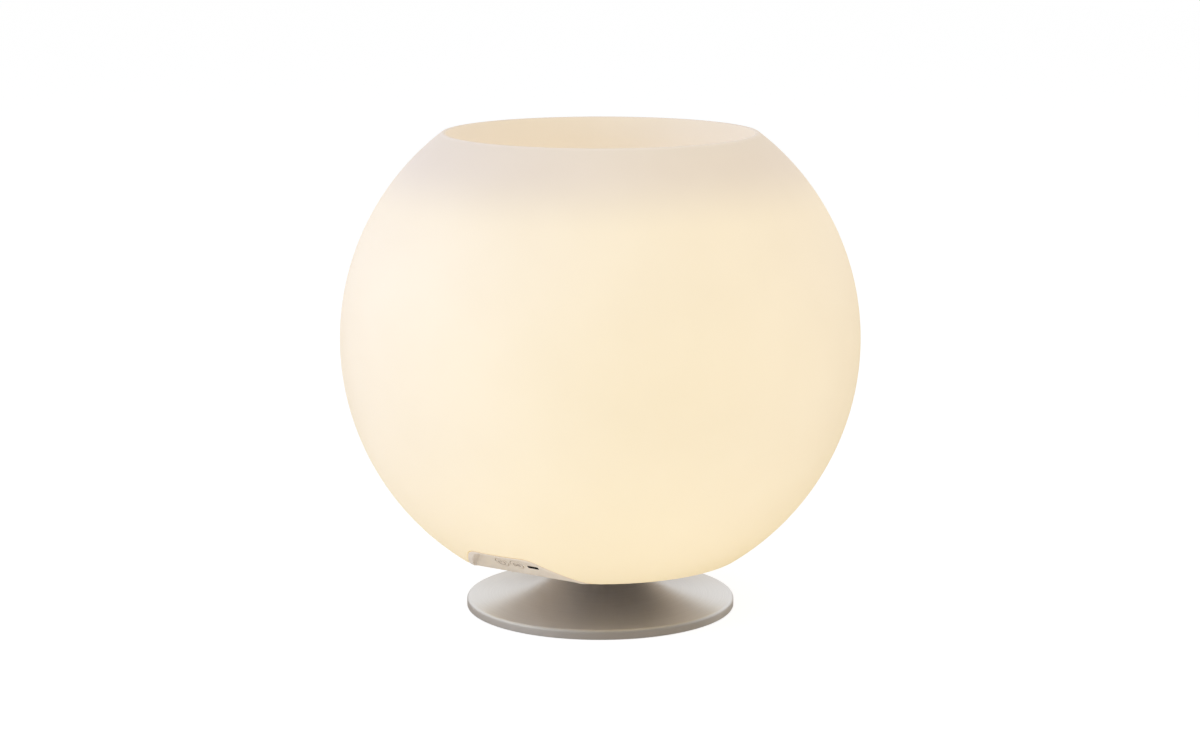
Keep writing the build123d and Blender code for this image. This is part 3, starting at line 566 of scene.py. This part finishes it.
# The flare is a quarter ellipse, radius = edge - width * sin(t), height = neck - rise * cos(t), from the
# upright neck out to the flat edge. With the spigot above it and the underside below, it is turned about
# the upright axis.
def trumpetFoot():
    flareStart = foot["radius"] - foot["edgeRound"]
    t = np.linspace(math.pi / 2, 0, foot["flareRows"])
    flare = np.stack(
        [
            flareStart - (flareStart - foot["neckRadius"]) * np.sin(t),
            foot["neckFoot"] - (foot["neckFoot"] - foot["edgeTop"]) * np.cos(t),
        ],
        -1,
    )
    top = roundedProfile(
        [
            (0, foot["spigotTop"]),
            (foot["spigotRadius"], foot["spigotTop"]),
            (foot["spigotRadius"], foot["neckTop"]),
            (foot["neckRadius"], foot["neckTop"]),
            (foot["neckRadius"], foot["neckFoot"]),
        ],
        foot["topRounds"],
        foot["topSteps"],
    )
    edge = roundedProfile(
        [
            flare[-1],
            (foot["radius"], foot["edgeTop"]),
            (foot["radius"], foot["edgeLow"]),
            (foot["recessRadius"], foot["edgeLow"]),
            (foot["recessRadius"], foot["recessTop"]),
            (foot["wellRadius"], foot["recessTop"]),
            (foot["wellRadius"], foot["wellTop"]),
            (0, foot["wellTop"]),
        ],
        [foot["edgeRound"] - foot["edgeLand"], foot["lowerRound"], *foot["belowRounds"]],
        foot["edgeSteps"],
    )
    profile = np.concatenate([top[:-1], flare[:-1], edge])
    return turnedPiece("trumpetFoot", divided(profile, foot["longestRun"]), foot["columns"])


footLook = dict(
    low=(0.72, 0.705, 0.69),
    high=(0.805, 0.79, 0.775),
    rings=4600.0,
    drift=40.0,
    roughness=(0.40, 0.48),
    lift=0.000006,
    anisotropy=0.8,
    spreadTurn=0.25,  # spreads the gloss across the rings, as turning marks do
)


# Brushed metal: rings that follow the turning, from a noise on the distance to the axis with a little
# of the place along the ring, so that the lines break up; the same lines drive tone, roughness and lift
def brushedFinish(name, look):
    material, tree, shader, place = newMaterial(name)
    rings = addNode(tree, "ShaderNodeMath", {"operation": "MULTIPLY"})
    tree.links.new(awayFromAxis(tree, place), rings.inputs[0])
    rings.inputs[1].default_value = look["rings"]
    drift = addNode(tree, "ShaderNodeVectorMath", {"operation": "SCALE"}, Scale=look["drift"])
    tree.links.new(place, drift.inputs[0])
    lines = addNode(tree, "ShaderNodeTexNoise", {"noise_dimensions": "4D"}, Vector=drift.outputs["Vector"])
    tree.links.new(rings.outputs["Value"], lines.inputs["W"])
    lines.inputs["Scale"].default_value = 1.0
    lines.inputs["Detail"].default_value = 2.0
    streak = lines.outputs["Fac"]
    tree.links.new(ramp(tree, streak, look["low"], look["high"], 0.25, 0.75), shader.inputs["Base Color"])
    roughenAndLift(tree, shader, streak, look["roughness"], streak, look["lift"])
    tangent = addNode(tree, "ShaderNodeTangent", {"direction_type": "RADIAL", "axis": "Z"})
    tree.links.new(tangent.outputs["Tangent"], shader.inputs["Tangent"])
    shader.inputs["Anisotropic"].default_value = look["anisotropy"]
    shader.inputs["Anisotropic Rotation"].default_value = look["spreadTurn"]
    shader.inputs["Metallic"].default_value = 1.0
    return material


brushedMetal = brushedFinish("brushedSatinMetal", footLook)
footPiece = trumpetFoot()
footPiece.data.materials.append(brushedMetal)
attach(footPiece, "lamp")
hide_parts("foot")
print("foot made")

# Control panel: the solid's own surface, joined up, with its edges rounded and the scoop's rim rounded most
panel = dict(
    edgeRound=0.35,
    edgeAngle=math.radians(35),
    segments=3,
    flatAngle=math.radians(0.5),  # faces that meet flatter than this are one
    flush=154.6,  # past this distance from the ball's centre an edge is flush with the ball
    endInset=3.0,
    headInset=0.8,
    rimRound=1.5,
    rimSegments=5,
)


# A point is on the scoop's rim if it is flush with the ball and inside the notch, by endInset at the sloped
# ends, half width = top half + lean * depth below the top, and by headInset at the top
def onScoopRim(point):
    lean = (globe["notchFootHalf"] - globe["notchTopHalf"]) / (globe["notchTop"] - globe["underside"])
    below = globe["notchTop"] - point.z / mm
    half = globe["notchTopHalf"] + lean * below
    flush = math.hypot(point.x, point.y, point.z - globe["centre"] * mm) > panel["flush"] * mm
    return flush and abs(point.x / mm) < half - panel["endInset"] and below > panel["headInset"]


shape = joinedCopy("control_panel")
bmesh.ops.dissolve_limit(shape, angle_limit=panel["flatAngle"], verts=shape.verts, edges=shape.edges)
rimEdges = [
    edge
    for edge in shape.edges
    if edge.calc_face_angle(0) > panel["edgeAngle"] and all(onScoopRim(end.co) for end in edge.verts)
]
bmesh.ops.bevel(
    shape,
    geom=rimEdges,
    offset=panel["rimRound"] * mm,
    segments=panel["rimSegments"],
    profile=0.5,
    affect="EDGES",
    clamp_overlap=True,
)
panelPiece = placeShape("panelScoop", shape)
panelPiece.data.polygons.foreach_set("use_smooth", np.ones(len(panelPiece.data.polygons), bool))
softEdges = panelPiece.modifiers.new("softEdges", "BEVEL")
softEdges.width = panel["edgeRound"] * mm
softEdges.segments = panel["segments"]
softEdges.limit_method = "ANGLE"
softEdges.angle_limit = panel["edgeAngle"]
softEdges.harden_normals = True
beige = plainFinish(
    "mattBeigePlastic",
    (0.85, 0.745, 0.63),
    (0.91, 0.80, 0.68),
    patch=70.0,
    grain=2600.0,
    roughness=(0.52, 0.62),
    lift=0.00003,
)
panelPiece.data.materials.append(beige)
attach(panelPiece, "lamp")
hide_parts("control_panel")
print("control panel made, rim edges:", len(rimEdges))

# Buttons on the panel's sloping face
face = dict(foot=76.518, underside=35.2, lean=math.radians(48))
buttons = dict(
    radius=4.17,  # leaves a fine groove round the key
    row=10.2,
    proud=0.2,
    dish=0.12,
    dishShare=0.55,  # of the radius, the flat middle of the dish
    edgeLand=0.9,
    edgeRound=0.35,
    dishRound=1.5,
    skirtRound=0.1,
    rimRadius=5.15,
    rimTop=-2.3,
    rimBottom=-3.05,
    rimRound=0.15,
    roundSteps=5,
    columns=96,
    keys={
        "lightKeyCap": (-13.0, "light_key", "light_button"),
        "soundKeyCap": (-2.5, "sound_key", "sound_button"),
    },
)
faceNormal = np.array([0, -math.cos(face["lean"]), -math.sin(face["lean"])])
faceSlope = np.array([0, -math.sin(face["lean"]), math.cos(face["lean"])])
faceOrigin = np.array([0, -face["foot"], face["underside"]])


# Place on the face = foot of the face + across * X + up * slope + rise * normal
def onFace(across, up, rise):
    return (
        faceOrigin
        + np.asarray(across)[..., None] * np.array([1.0, 0, 0])
        + np.asarray(up)[..., None] * faceSlope
        + np.asarray(rise)[..., None] * faceNormal
    )


# A profile (radius, rise) turned about the face's normal through the key's middle,
# across + radius * cos(angle), row + radius * sin(angle)
def keyCap(name, across):
    radius = buttons["radius"]
    profile = roundedProfile(
        [
            (0, buttons["proud"] - buttons["dish"]),
            (radius * buttons["dishShare"], buttons["proud"] - buttons["dish"]),
            (radius - buttons["edgeLand"], buttons["proud"]),
            (radius, buttons["proud"]),
            (radius, buttons["rimTop"]),
            (buttons["rimRadius"], buttons["rimTop"]),
            (buttons["rimRadius"], buttons["rimBottom"]),
            (0, buttons["rimBottom"]),
        ],
        [
            buttons["dishRound"],
            buttons["dishRound"],
            buttons["edgeRound"],
            buttons["skirtRound"],
            buttons["rimRound"],
            buttons["rimRound"],
        ],
        buttons["roundSteps"],
    )
    body = profile[1:-1]
    angle = np.arange(buttons["columns"]) * (2 * math.pi / buttons["columns"])
    rise = np.repeat(body[:, 1:], buttons["columns"], axis=1)
    sideways = across + body[:, :1] * np.cos(angle)
    upwards = buttons["row"] + body[:, :1] * np.sin(angle)
    points = onFace(sideways, upwards, rise).reshape(-1, 3)
    poles = onFace(np.full(2, across), np.full(2, buttons["row"]), profile[[0, -1], 1])
    count = len(points)
    quads, fans = gridFaces(len(body), buttons["columns"], False, count, count + 1)
    return placeMesh(name, np.concatenate([points, poles]), quads, fans)


keyPlastic = plainFinish(
    "mattKeyPlastic",
    (0.78, 0.68, 0.58),
    (0.84, 0.735, 0.63),
    patch=120.0,
    grain=2600.0,
    roughness=(0.5, 0.6),
    lift=0.00002,
)
for name, (across, body, node) in buttons["keys"].items():
    cap = keyCap(name, across)
    cap.data.materials.append(keyPlastic)
    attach(cap, body)
    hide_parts(node)
print("key caps made")

# Signs on the keys: a broken ring with a bar, and a triangle with two bars, from the middle of each key
signs = dict(
    lift=0.06,
    sink=0.05,
    width=0.42,
    ringRadius=2.1,
    ringFrom=125,
    ringTo=415,
    ringSteps=40,
    ringBar=(0.7, 2.4),
    triangleBack=-1.9,
    triangleTip=0.6,
    triangleHalf=1.5,
    barPlaces={"soundSignBarA": 1.2, "soundSignBarB": 2.1},
    barHalf=1.4,
    lineSteps=4,
)


# A rectangular section from low to high is carried along a path of (across, up) points; its sides lie at
# path +- half the width along the path's own normal
def signStrip(name, path, width, closed, low, high):
    path = np.asarray(path, float)
    ahead = np.roll(path, -1, axis=0) - np.roll(path, 1, axis=0) if closed else np.gradient(path, axis=0)
    side = np.stack([-ahead[:, 1], ahead[:, 0]], -1) / np.linalg.norm(ahead, axis=1, keepdims=True)
    left, right = path + side * width / 2, path - side * width / 2
    ring = [(left, low), (right, low), (right, high), (left, high)]
    points = np.stack([onFace(p[:, 0], p[:, 1], np.full(len(p), rise)) for p, rise in ring], 0)
    index = np.arange(points.shape[0] * points.shape[1]).reshape(points.shape[:2])
    nextSide = np.roll(index, -1, axis=0)
    if closed:
        quads = np.stack(
            [index, np.roll(index, -1, axis=1), np.roll(nextSide, -1, axis=1), nextSide], -1
        ).reshape(-1, 4)
    else:
        quads = np.stack(
            [index[:, :-1], index[:, 1:], nextSide[:, 1:], nextSide[:, :-1]], -1
        ).reshape(-1, 4)
        ends = np.stack([index[:, 0], index[::-1, -1]])
        quads = np.concatenate([quads, ends])
    return placeMesh(name, points.reshape(-1, 3), quads, smooth=False)


# Arc (across + radius * cos(a), up + radius * sin(a)) between two angles in degrees
def arcPath(across, up, radius, start, end, steps):
    a = np.radians(np.linspace(start, end, steps))
    return np.stack([across + radius * np.cos(a), up + radius * np.sin(a)], -1)


# Straight path start + (end - start) * share
def linePath(start, end):
    share = np.linspace(0, 1, signs["lineSteps"])[:, None]
    return np.array(start) + (np.array(end) - np.array(start)) * share


lightX = buttons["keys"]["lightKeyCap"][0]
soundX = buttons["keys"]["soundKeyCap"][0]
row = buttons["row"]
ringPath = arcPath(
    lightX, row, signs["ringRadius"], signs["ringFrom"], signs["ringTo"], signs["ringSteps"]
)
barFoot, barHead = [(lightX, row + up) for up in signs["ringBar"]]
backLow = (soundX + signs["triangleBack"], row - signs["triangleHalf"])
backHigh = (soundX + signs["triangleBack"], row + signs["triangleHalf"])
tip = (soundX + signs["triangleTip"], row)
signPaths = [
    ("lightSignRing", "light_key", ringPath),
    ("lightSignBar", "light_key", linePath(barFoot, barHead)),
    ("soundSignSideA", "sound_key", linePath(backLow, backHigh)),
    ("soundSignSideB", "sound_key", linePath(backHigh, tip)),
    ("soundSignSideC", "sound_key", linePath(tip, backLow)),
]
for name, across in signs["barPlaces"].items():
    x = soundX + across
    barPath = linePath((x, row - signs["barHalf"]), (x, row + signs["barHalf"]))
    signPaths.append((name, "sound_key", barPath))
signPaint = plainFinish(
    "signPaint", (0.30, 0.23, 0.17), (0.36, 0.28, 0.21), patch=300.0, grain=3000.0, roughness=(0.5, 0.6)
)
keyLevel = buttons["proud"] - buttons["dish"]
for name, body, path in signPaths:
    signFoot, signHead = keyLevel - signs["sink"], keyLevel + signs["lift"]
    sign = signStrip(name, path, signs["width"], False, signFoot, signHead)
    sign.data.materials.append(signPaint)
    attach(sign, body)
print("signs made")

# Finishes of the solids that keep their own shape, by the record's slots; the made pieces' finishes go on
# the solids that they stand for too
solidLooks = {
    "soft_rubber": dict(low=(0.028, 0.028, 0.03), high=(0.045, 0.045, 0.047), roughness=(0.65, 0.8)),
    "steel_fasteners": dict(
        low=(0.50, 0.50, 0.51), high=(0.62, 0.62, 0.63), roughness=(0.25, 0.38), patch=400.0, Metallic=1.0
    ),
    "circuit_board": dict(
        low=(0.02, 0.11, 0.05), high=(0.03, 0.16, 0.075), roughness=(0.3, 0.42), patch=220.0
    ),
    "white_board": dict(low=(0.72, 0.72, 0.70), high=(0.80, 0.80, 0.78), roughness=(0.35, 0.45)),
    "chip_plastic": dict(low=(0.018, 0.018, 0.02), high=(0.035, 0.035, 0.037), roughness=(0.4, 0.55)),
    "lamp_chip": dict(low=(0.85, 0.62, 0.16), high=(0.92, 0.72, 0.24), roughness=(0.2, 0.3), patch=500.0),
    "diffuser": dict(low=(0.76, 0.75, 0.72), high=(0.82, 0.81, 0.78), roughness=(0.45, 0.55)),
    "cell_sleeve": dict(low=(0.04, 0.15, 0.24), high=(0.055, 0.19, 0.29), roughness=(0.2, 0.3)),
    "foam": dict(low=(0.03, 0.03, 0.033), high=(0.06, 0.06, 0.065), roughness=(0.85, 0.95), lift=0.0002),
    "speaker_steel": dict(low=(0.018, 0.018, 0.02), high=(0.03, 0.03, 0.032), roughness=(0.35, 0.5)),
    "ferrite": dict(low=(0.035, 0.035, 0.038), high=(0.06, 0.06, 0.063), roughness=(0.6, 0.75)),
    "plain_steel": dict(low=(0.46, 0.46, 0.47), high=(0.58, 0.58, 0.59), roughness=(0.3, 0.42), Metallic=1.0),
    "cone_paper": dict(low=(0.022, 0.022, 0.022), high=(0.04, 0.04, 0.04), roughness=(0.8, 0.9), lift=0.0001),
    "coil_former": dict(
        low=(0.50, 0.24, 0.09), high=(0.62, 0.33, 0.13), roughness=(0.25, 0.35), Metallic=1.0
    ),
    "spider_cloth": dict(low=(0.40, 0.27, 0.09), high=(0.50, 0.35, 0.13), roughness=(0.8, 0.9), lift=0.0001),
    "mesh_cloth": dict(low=(0.012, 0.012, 0.012), high=(0.035, 0.035, 0.035), grain=1600.0, lift=0.0003),
    "socket_metal": dict(
        low=(0.010, 0.007, 0.005), high=(0.016, 0.012, 0.009), roughness=(0.5, 0.6), Specular_IOR_Level=0.15
    ),
}
solidFinishes = {slot: plainFinish(slot + "Finish", **look) for slot, look in solidLooks.items()}
solidFinishes.update(
    opal_shell=opalShell,
    opal_liner=opalLiner,
    brushed_metal=brushedMetal,
    beige_plastic=beige,
    button_plastic=keyPlastic,
)

# Painted shade in the charging slot: a dark lining along the slot's wall in front of the socket stands in for
# the shade inside the slot; the signs' strip, closed
slotShadeLining = dict(
    across=8.9,
    halfWidth=3.73,
    halfHeight=1.28,
    cornerRound=0.75,
    longestRun=0.8,
    thickness=0.22,
    low=-0.57,
    high=-0.04,
)


# Rounded rectangle (across, up) just inside the slot's wall, from the middle of its lower side and back
def slotOutline():
    left, right = slotShadeLining["across"] - slotShadeLining["halfWidth"], slotShadeLining["across"] + slotShadeLining["halfWidth"]
    bottom, top = buttons["row"] - slotShadeLining["halfHeight"], buttons["row"] + slotShadeLining["halfHeight"]
    start = (slotShadeLining["across"], bottom)
    corners = [start, (right, bottom), (right, top), (left, top), (left, bottom), start]
    return divided(roundedProfile(corners, [slotShadeLining["cornerRound"]] * 4), slotShadeLining["longestRun"])[:-1]


# the lining is painted shade, dark where the slot's wall lies in shade
slotShadeLiningPiece = signStrip("slotPaintedShade", slotOutline(), slotShadeLining["thickness"], True, slotShadeLining["low"], slotShadeLining["high"])
slotShadeLiningPiece.data.materials.append(solidFinishes["socket_metal"])
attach(slotShadeLiningPiece, "lamp")
print("slot trim made")

# Underside: beige with painted shade, a darker patch round the sound slots set off the axis, standing in for
# the shade under the ball that the foot reflects
housingShadeLook = dict(
    # the first tone is painted shade, and middle sets its dark patch off the axis
    paintedShadeTone=(0.38, 0.34, 0.32),
    rim=(0.92, 0.80, 0.67),
    middle=(0.014, -0.001),
    paintedShadeEdge=0.030,
    rimEdge=0.046,
    grain=2600.0,
    roughness=(0.5, 0.64),
    lift=0.00003,
)


# Painted shade: the share of rim colour grows with the distance to the middle of the dark patch, from its
# edge out to rimEdge, so the underside is darkest round a point off the axis where shade falls; a fine grain
# drives roughness and lift
def housingShadeFinish(name, look):
    material, tree, shader, place = newMaterial(name)
    toMiddle = (-look["middle"][0], -look["middle"][1], 0)
    moved = addNode(tree, "ShaderNodeMapping", Vector=place, Location=toMiddle)
    share = addNode(
        tree,
        "ShaderNodeMapRange",
        Value=awayFromAxis(tree, moved.outputs["Vector"]),
        From_Min=look["paintedShadeEdge"],
        From_Max=look["rimEdge"],
    )
    tone = ramp(tree, share.outputs["Result"], look["paintedShadeTone"], look["rim"], 0, 1)
    tree.links.new(tone, shader.inputs["Base Color"])
    fine = noise(tree, place, look["grain"])
    roughenAndLift(tree, shader, fine, look["roughness"], fine, look["lift"])
    return material


# Soft rings of the speaker, which stretch between its frame and the cone
softRings = {
    "surroundRing": dict(node="speaker_surround", slot="soft_rubber", outer=40.0, inner=36.0),
    "spiderRing": dict(node="speaker_spider", slot="spider_cloth", outer=25.0, inner=13.5),
}


# Joined copy of the ring's solid. The share of each point that follows the cone is 3s^2 - 2s^3, with s from
# 0 at the outer to 1 at the inner radius, in place of the straight share that blend gives.
def softRing(name, ring):
    piece = placeShape(name, joinedCopy(ring["node"]))
    mesh = piece.data
    mesh.materials.append(solidFinishes[ring["slot"]])
    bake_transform(piece, "lamp", "cone", start=(ring["outer"] * mm, 0, 0), end=(ring["inner"] * mm, 0, 0))
    places = np.empty(3 * len(mesh.vertices))
    mesh.vertices.foreach_get("co", places)
    away = np.hypot(*places.reshape(-1, 3).T[:2]) / mm
    share = np.clip((ring["outer"] - away) / (ring["outer"] - ring["inner"]), 0, 1)
    mesh.attributes["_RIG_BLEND"].data.foreach_set("value", share**2 * (3 - 2 * share))
    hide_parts(ring["node"])


for name, ring in softRings.items():
    softRing(name, ring)
print("soft rings made")

# the underside's finish carries painted shade
nodeFinishes = {"bottom_housing": housingShadeFinish("housingPlasticPaintedShade", housingShadeLook)}
for part in frame["record"]["subparts"]:
    solid = frame["nodes"][part["node"]]
    finish = nodeFinishes.get(part["node"], solidFinishes[part["material_slot"]])
    for place in solid.material_slots:
        place.material = finish
print("finishes set on the solids")

# Floor and surroundings: white to the camera, with the object's shadow in the floor. Gloss sees the white
# floor painted a warm grey, painted shade and warm lamp light, and a white room that darkens towards
# darkSide.
stage = dict(
    size=12.0,
    paper=(0.92, 0.92, 0.92, 1),
    seenPaper=(0.26, 0.26, 0.26, 1),
    seenWhite=0.84,
    # painted shade and warm light: the floor's colour in gloss only
    mirroredPaperShaded=(0.50, 0.445, 0.39, 1),
    light=0.60,
    roomFront=0.20,
    roomFade=(-0.2, 0.8),  # share of facing darkSide at which the room starts and ends to darken
    darkSide=math.radians(65),  # the room's darker side, from -Y towards +X
)


# first * (1 - factor) + second * factor
def mixShaders(tree, factor, first, second):
    mix = tree.nodes.new("ShaderNodeMixShader")
    tree.links.new(factor, mix.inputs[0])
    tree.links.new(first, mix.inputs[1])
    tree.links.new(second, mix.inputs[2])
    return mix.outputs["Shader"]


# The larger of two ray tests
def either(tree, first, second):
    larger = addNode(tree, "ShaderNodeMath", {"operation": "MAXIMUM"})
    tree.links.new(first, larger.inputs[0])
    tree.links.new(second, larger.inputs[1])
    return larger.outputs["Value"]


white = (1, 1, 1, 1)
half = stage["size"] / 2
floorMesh = bpy.data.meshes.new("paleFloor")
floorCorners = [(-half, -half, 0), (half, -half, 0), (half, half, 0), (-half, half, 0)]
floorMesh.from_pydata(floorCorners, [], [(0, 1, 2, 3)])
floorPiece = bpy.data.objects.new("paleFloor", floorMesh)
bpy.context.collection.objects.link(floorPiece)
floorPaint = bpy.data.materials.new("paleFloorPaint")
floorPaint.use_nodes = True
tree = floorPaint.node_tree
tree.nodes.clear()
rays = tree.nodes.new("ShaderNodeLightPath").outputs
matt = addNode(tree, "ShaderNodeBsdfDiffuse", Color=stage["paper"]).outputs["BSDF"]
seenMatt = addNode(tree, "ShaderNodeBsdfDiffuse", Color=stage["seenPaper"]).outputs["BSDF"]
seenWhite = addNode(tree, "ShaderNodeEmission", Color=white, Strength=stage["seenWhite"])
seen = tree.nodes.new("ShaderNodeAddShader")
tree.links.new(seenMatt, seen.inputs[0])
tree.links.new(seenWhite.outputs["Emission"], seen.inputs[1])
mirrored = either(tree, rays["Is Glossy Ray"], rays["Is Transmission Ray"])
# the floor in gloss: darker and warmer than the paper, painted shade and warm lamp light
mirroredShadedMatt = addNode(tree, "ShaderNodeBsdfDiffuse", Color=stage["mirroredPaperShaded"]).outputs["BSDF"]
unseen = mixShaders(tree, mirrored, matt, mirroredShadedMatt)
floorOutput = tree.nodes.new("ShaderNodeOutputMaterial")
tree.links.new(
    mixShaders(tree, rays["Is Camera Ray"], unseen, seen.outputs["Shader"]),
    floorOutput.inputs["Surface"],
)
floorMesh.materials.append(floorPaint)

world = bpy.data.worlds.new("studio")
bpy.context.scene.world = world
world.use_nodes = True
tree = world.node_tree
tree.nodes.clear()
rays = tree.nodes.new("ShaderNodeLightPath").outputs
softRoom = addNode(tree, "ShaderNodeBackground", Color=white, Strength=stage["light"])
seenRoom = addNode(tree, "ShaderNodeBackground", Color=white, Strength=1.0)
direction = tree.nodes.new("ShaderNodeTexCoord").outputs["Generated"]
facing = addNode(tree, "ShaderNodeVectorMath", {"operation": "DOT_PRODUCT"})
tree.links.new(direction, facing.inputs[0])
facing.inputs[1].default_value = (math.sin(stage["darkSide"]), -math.cos(stage["darkSide"]), 0)
room = addNode(
    tree,
    "ShaderNodeMapRange",
    Value=facing.outputs["Value"],
    From_Min=stage["roomFade"][0],
    From_Max=stage["roomFade"][1],
    To_Min=1.0,
    To_Max=stage["roomFront"],
)
mirroredRoom = addNode(tree, "ShaderNodeBackground", Color=white, Strength=room.outputs["Result"])
mirrored = either(tree, rays["Is Glossy Ray"], rays["Is Transmission Ray"])
unseen = mixShaders(tree, mirrored, softRoom.outputs["Background"], mirroredRoom.outputs["Background"])
worldOutput = tree.nodes.new("ShaderNodeOutputWorld")
tree.links.new(
    mixShaders(tree, rays["Is Camera Ray"], unseen, seenRoom.outputs["Background"]),
    worldOutput.inputs["Surface"],
)

# Soft boxes: azimuth and elevation in degrees are seen from the object, 0 towards -Y; each points at a place
# boxAim above the floor, and gloss doesn't show it
boxAim = 0.16
softBoxes = {
    "keyBox": dict(azimuth=-42, elevation=24, distance=2.2, size=1.4, power=24.0, tint=(0.52, 0.66, 1.0)),
    "frontBox": dict(azimuth=22, elevation=7, distance=2.4, size=1.2, power=11.4, tint=(1.0, 0.965, 0.54)),
    "fillBox": dict(azimuth=100, elevation=25, distance=2.2, size=1.4, power=12.0, tint=(1.0, 0.985, 0.98)),
}
for name, box in softBoxes.items():
    azimuth, elevation = math.radians(box["azimuth"]), math.radians(box["elevation"])
    light = bpy.data.lights.new(name, "AREA")
    light.energy = box["power"]
    light.size = box["size"]
    light.color = box["tint"]
    holder = bpy.data.objects.new(name, light)
    holder.visible_glossy = False
    holder.location = (
        box["distance"] * math.sin(azimuth) * math.cos(elevation),
        -box["distance"] * math.cos(azimuth) * math.cos(elevation),
        boxAim + box["distance"] * math.sin(elevation),
    )
    holder.rotation_euler = (math.pi / 2 - elevation, 0, azimuth)
    bpy.context.collection.objects.link(holder)
print("stage lit")
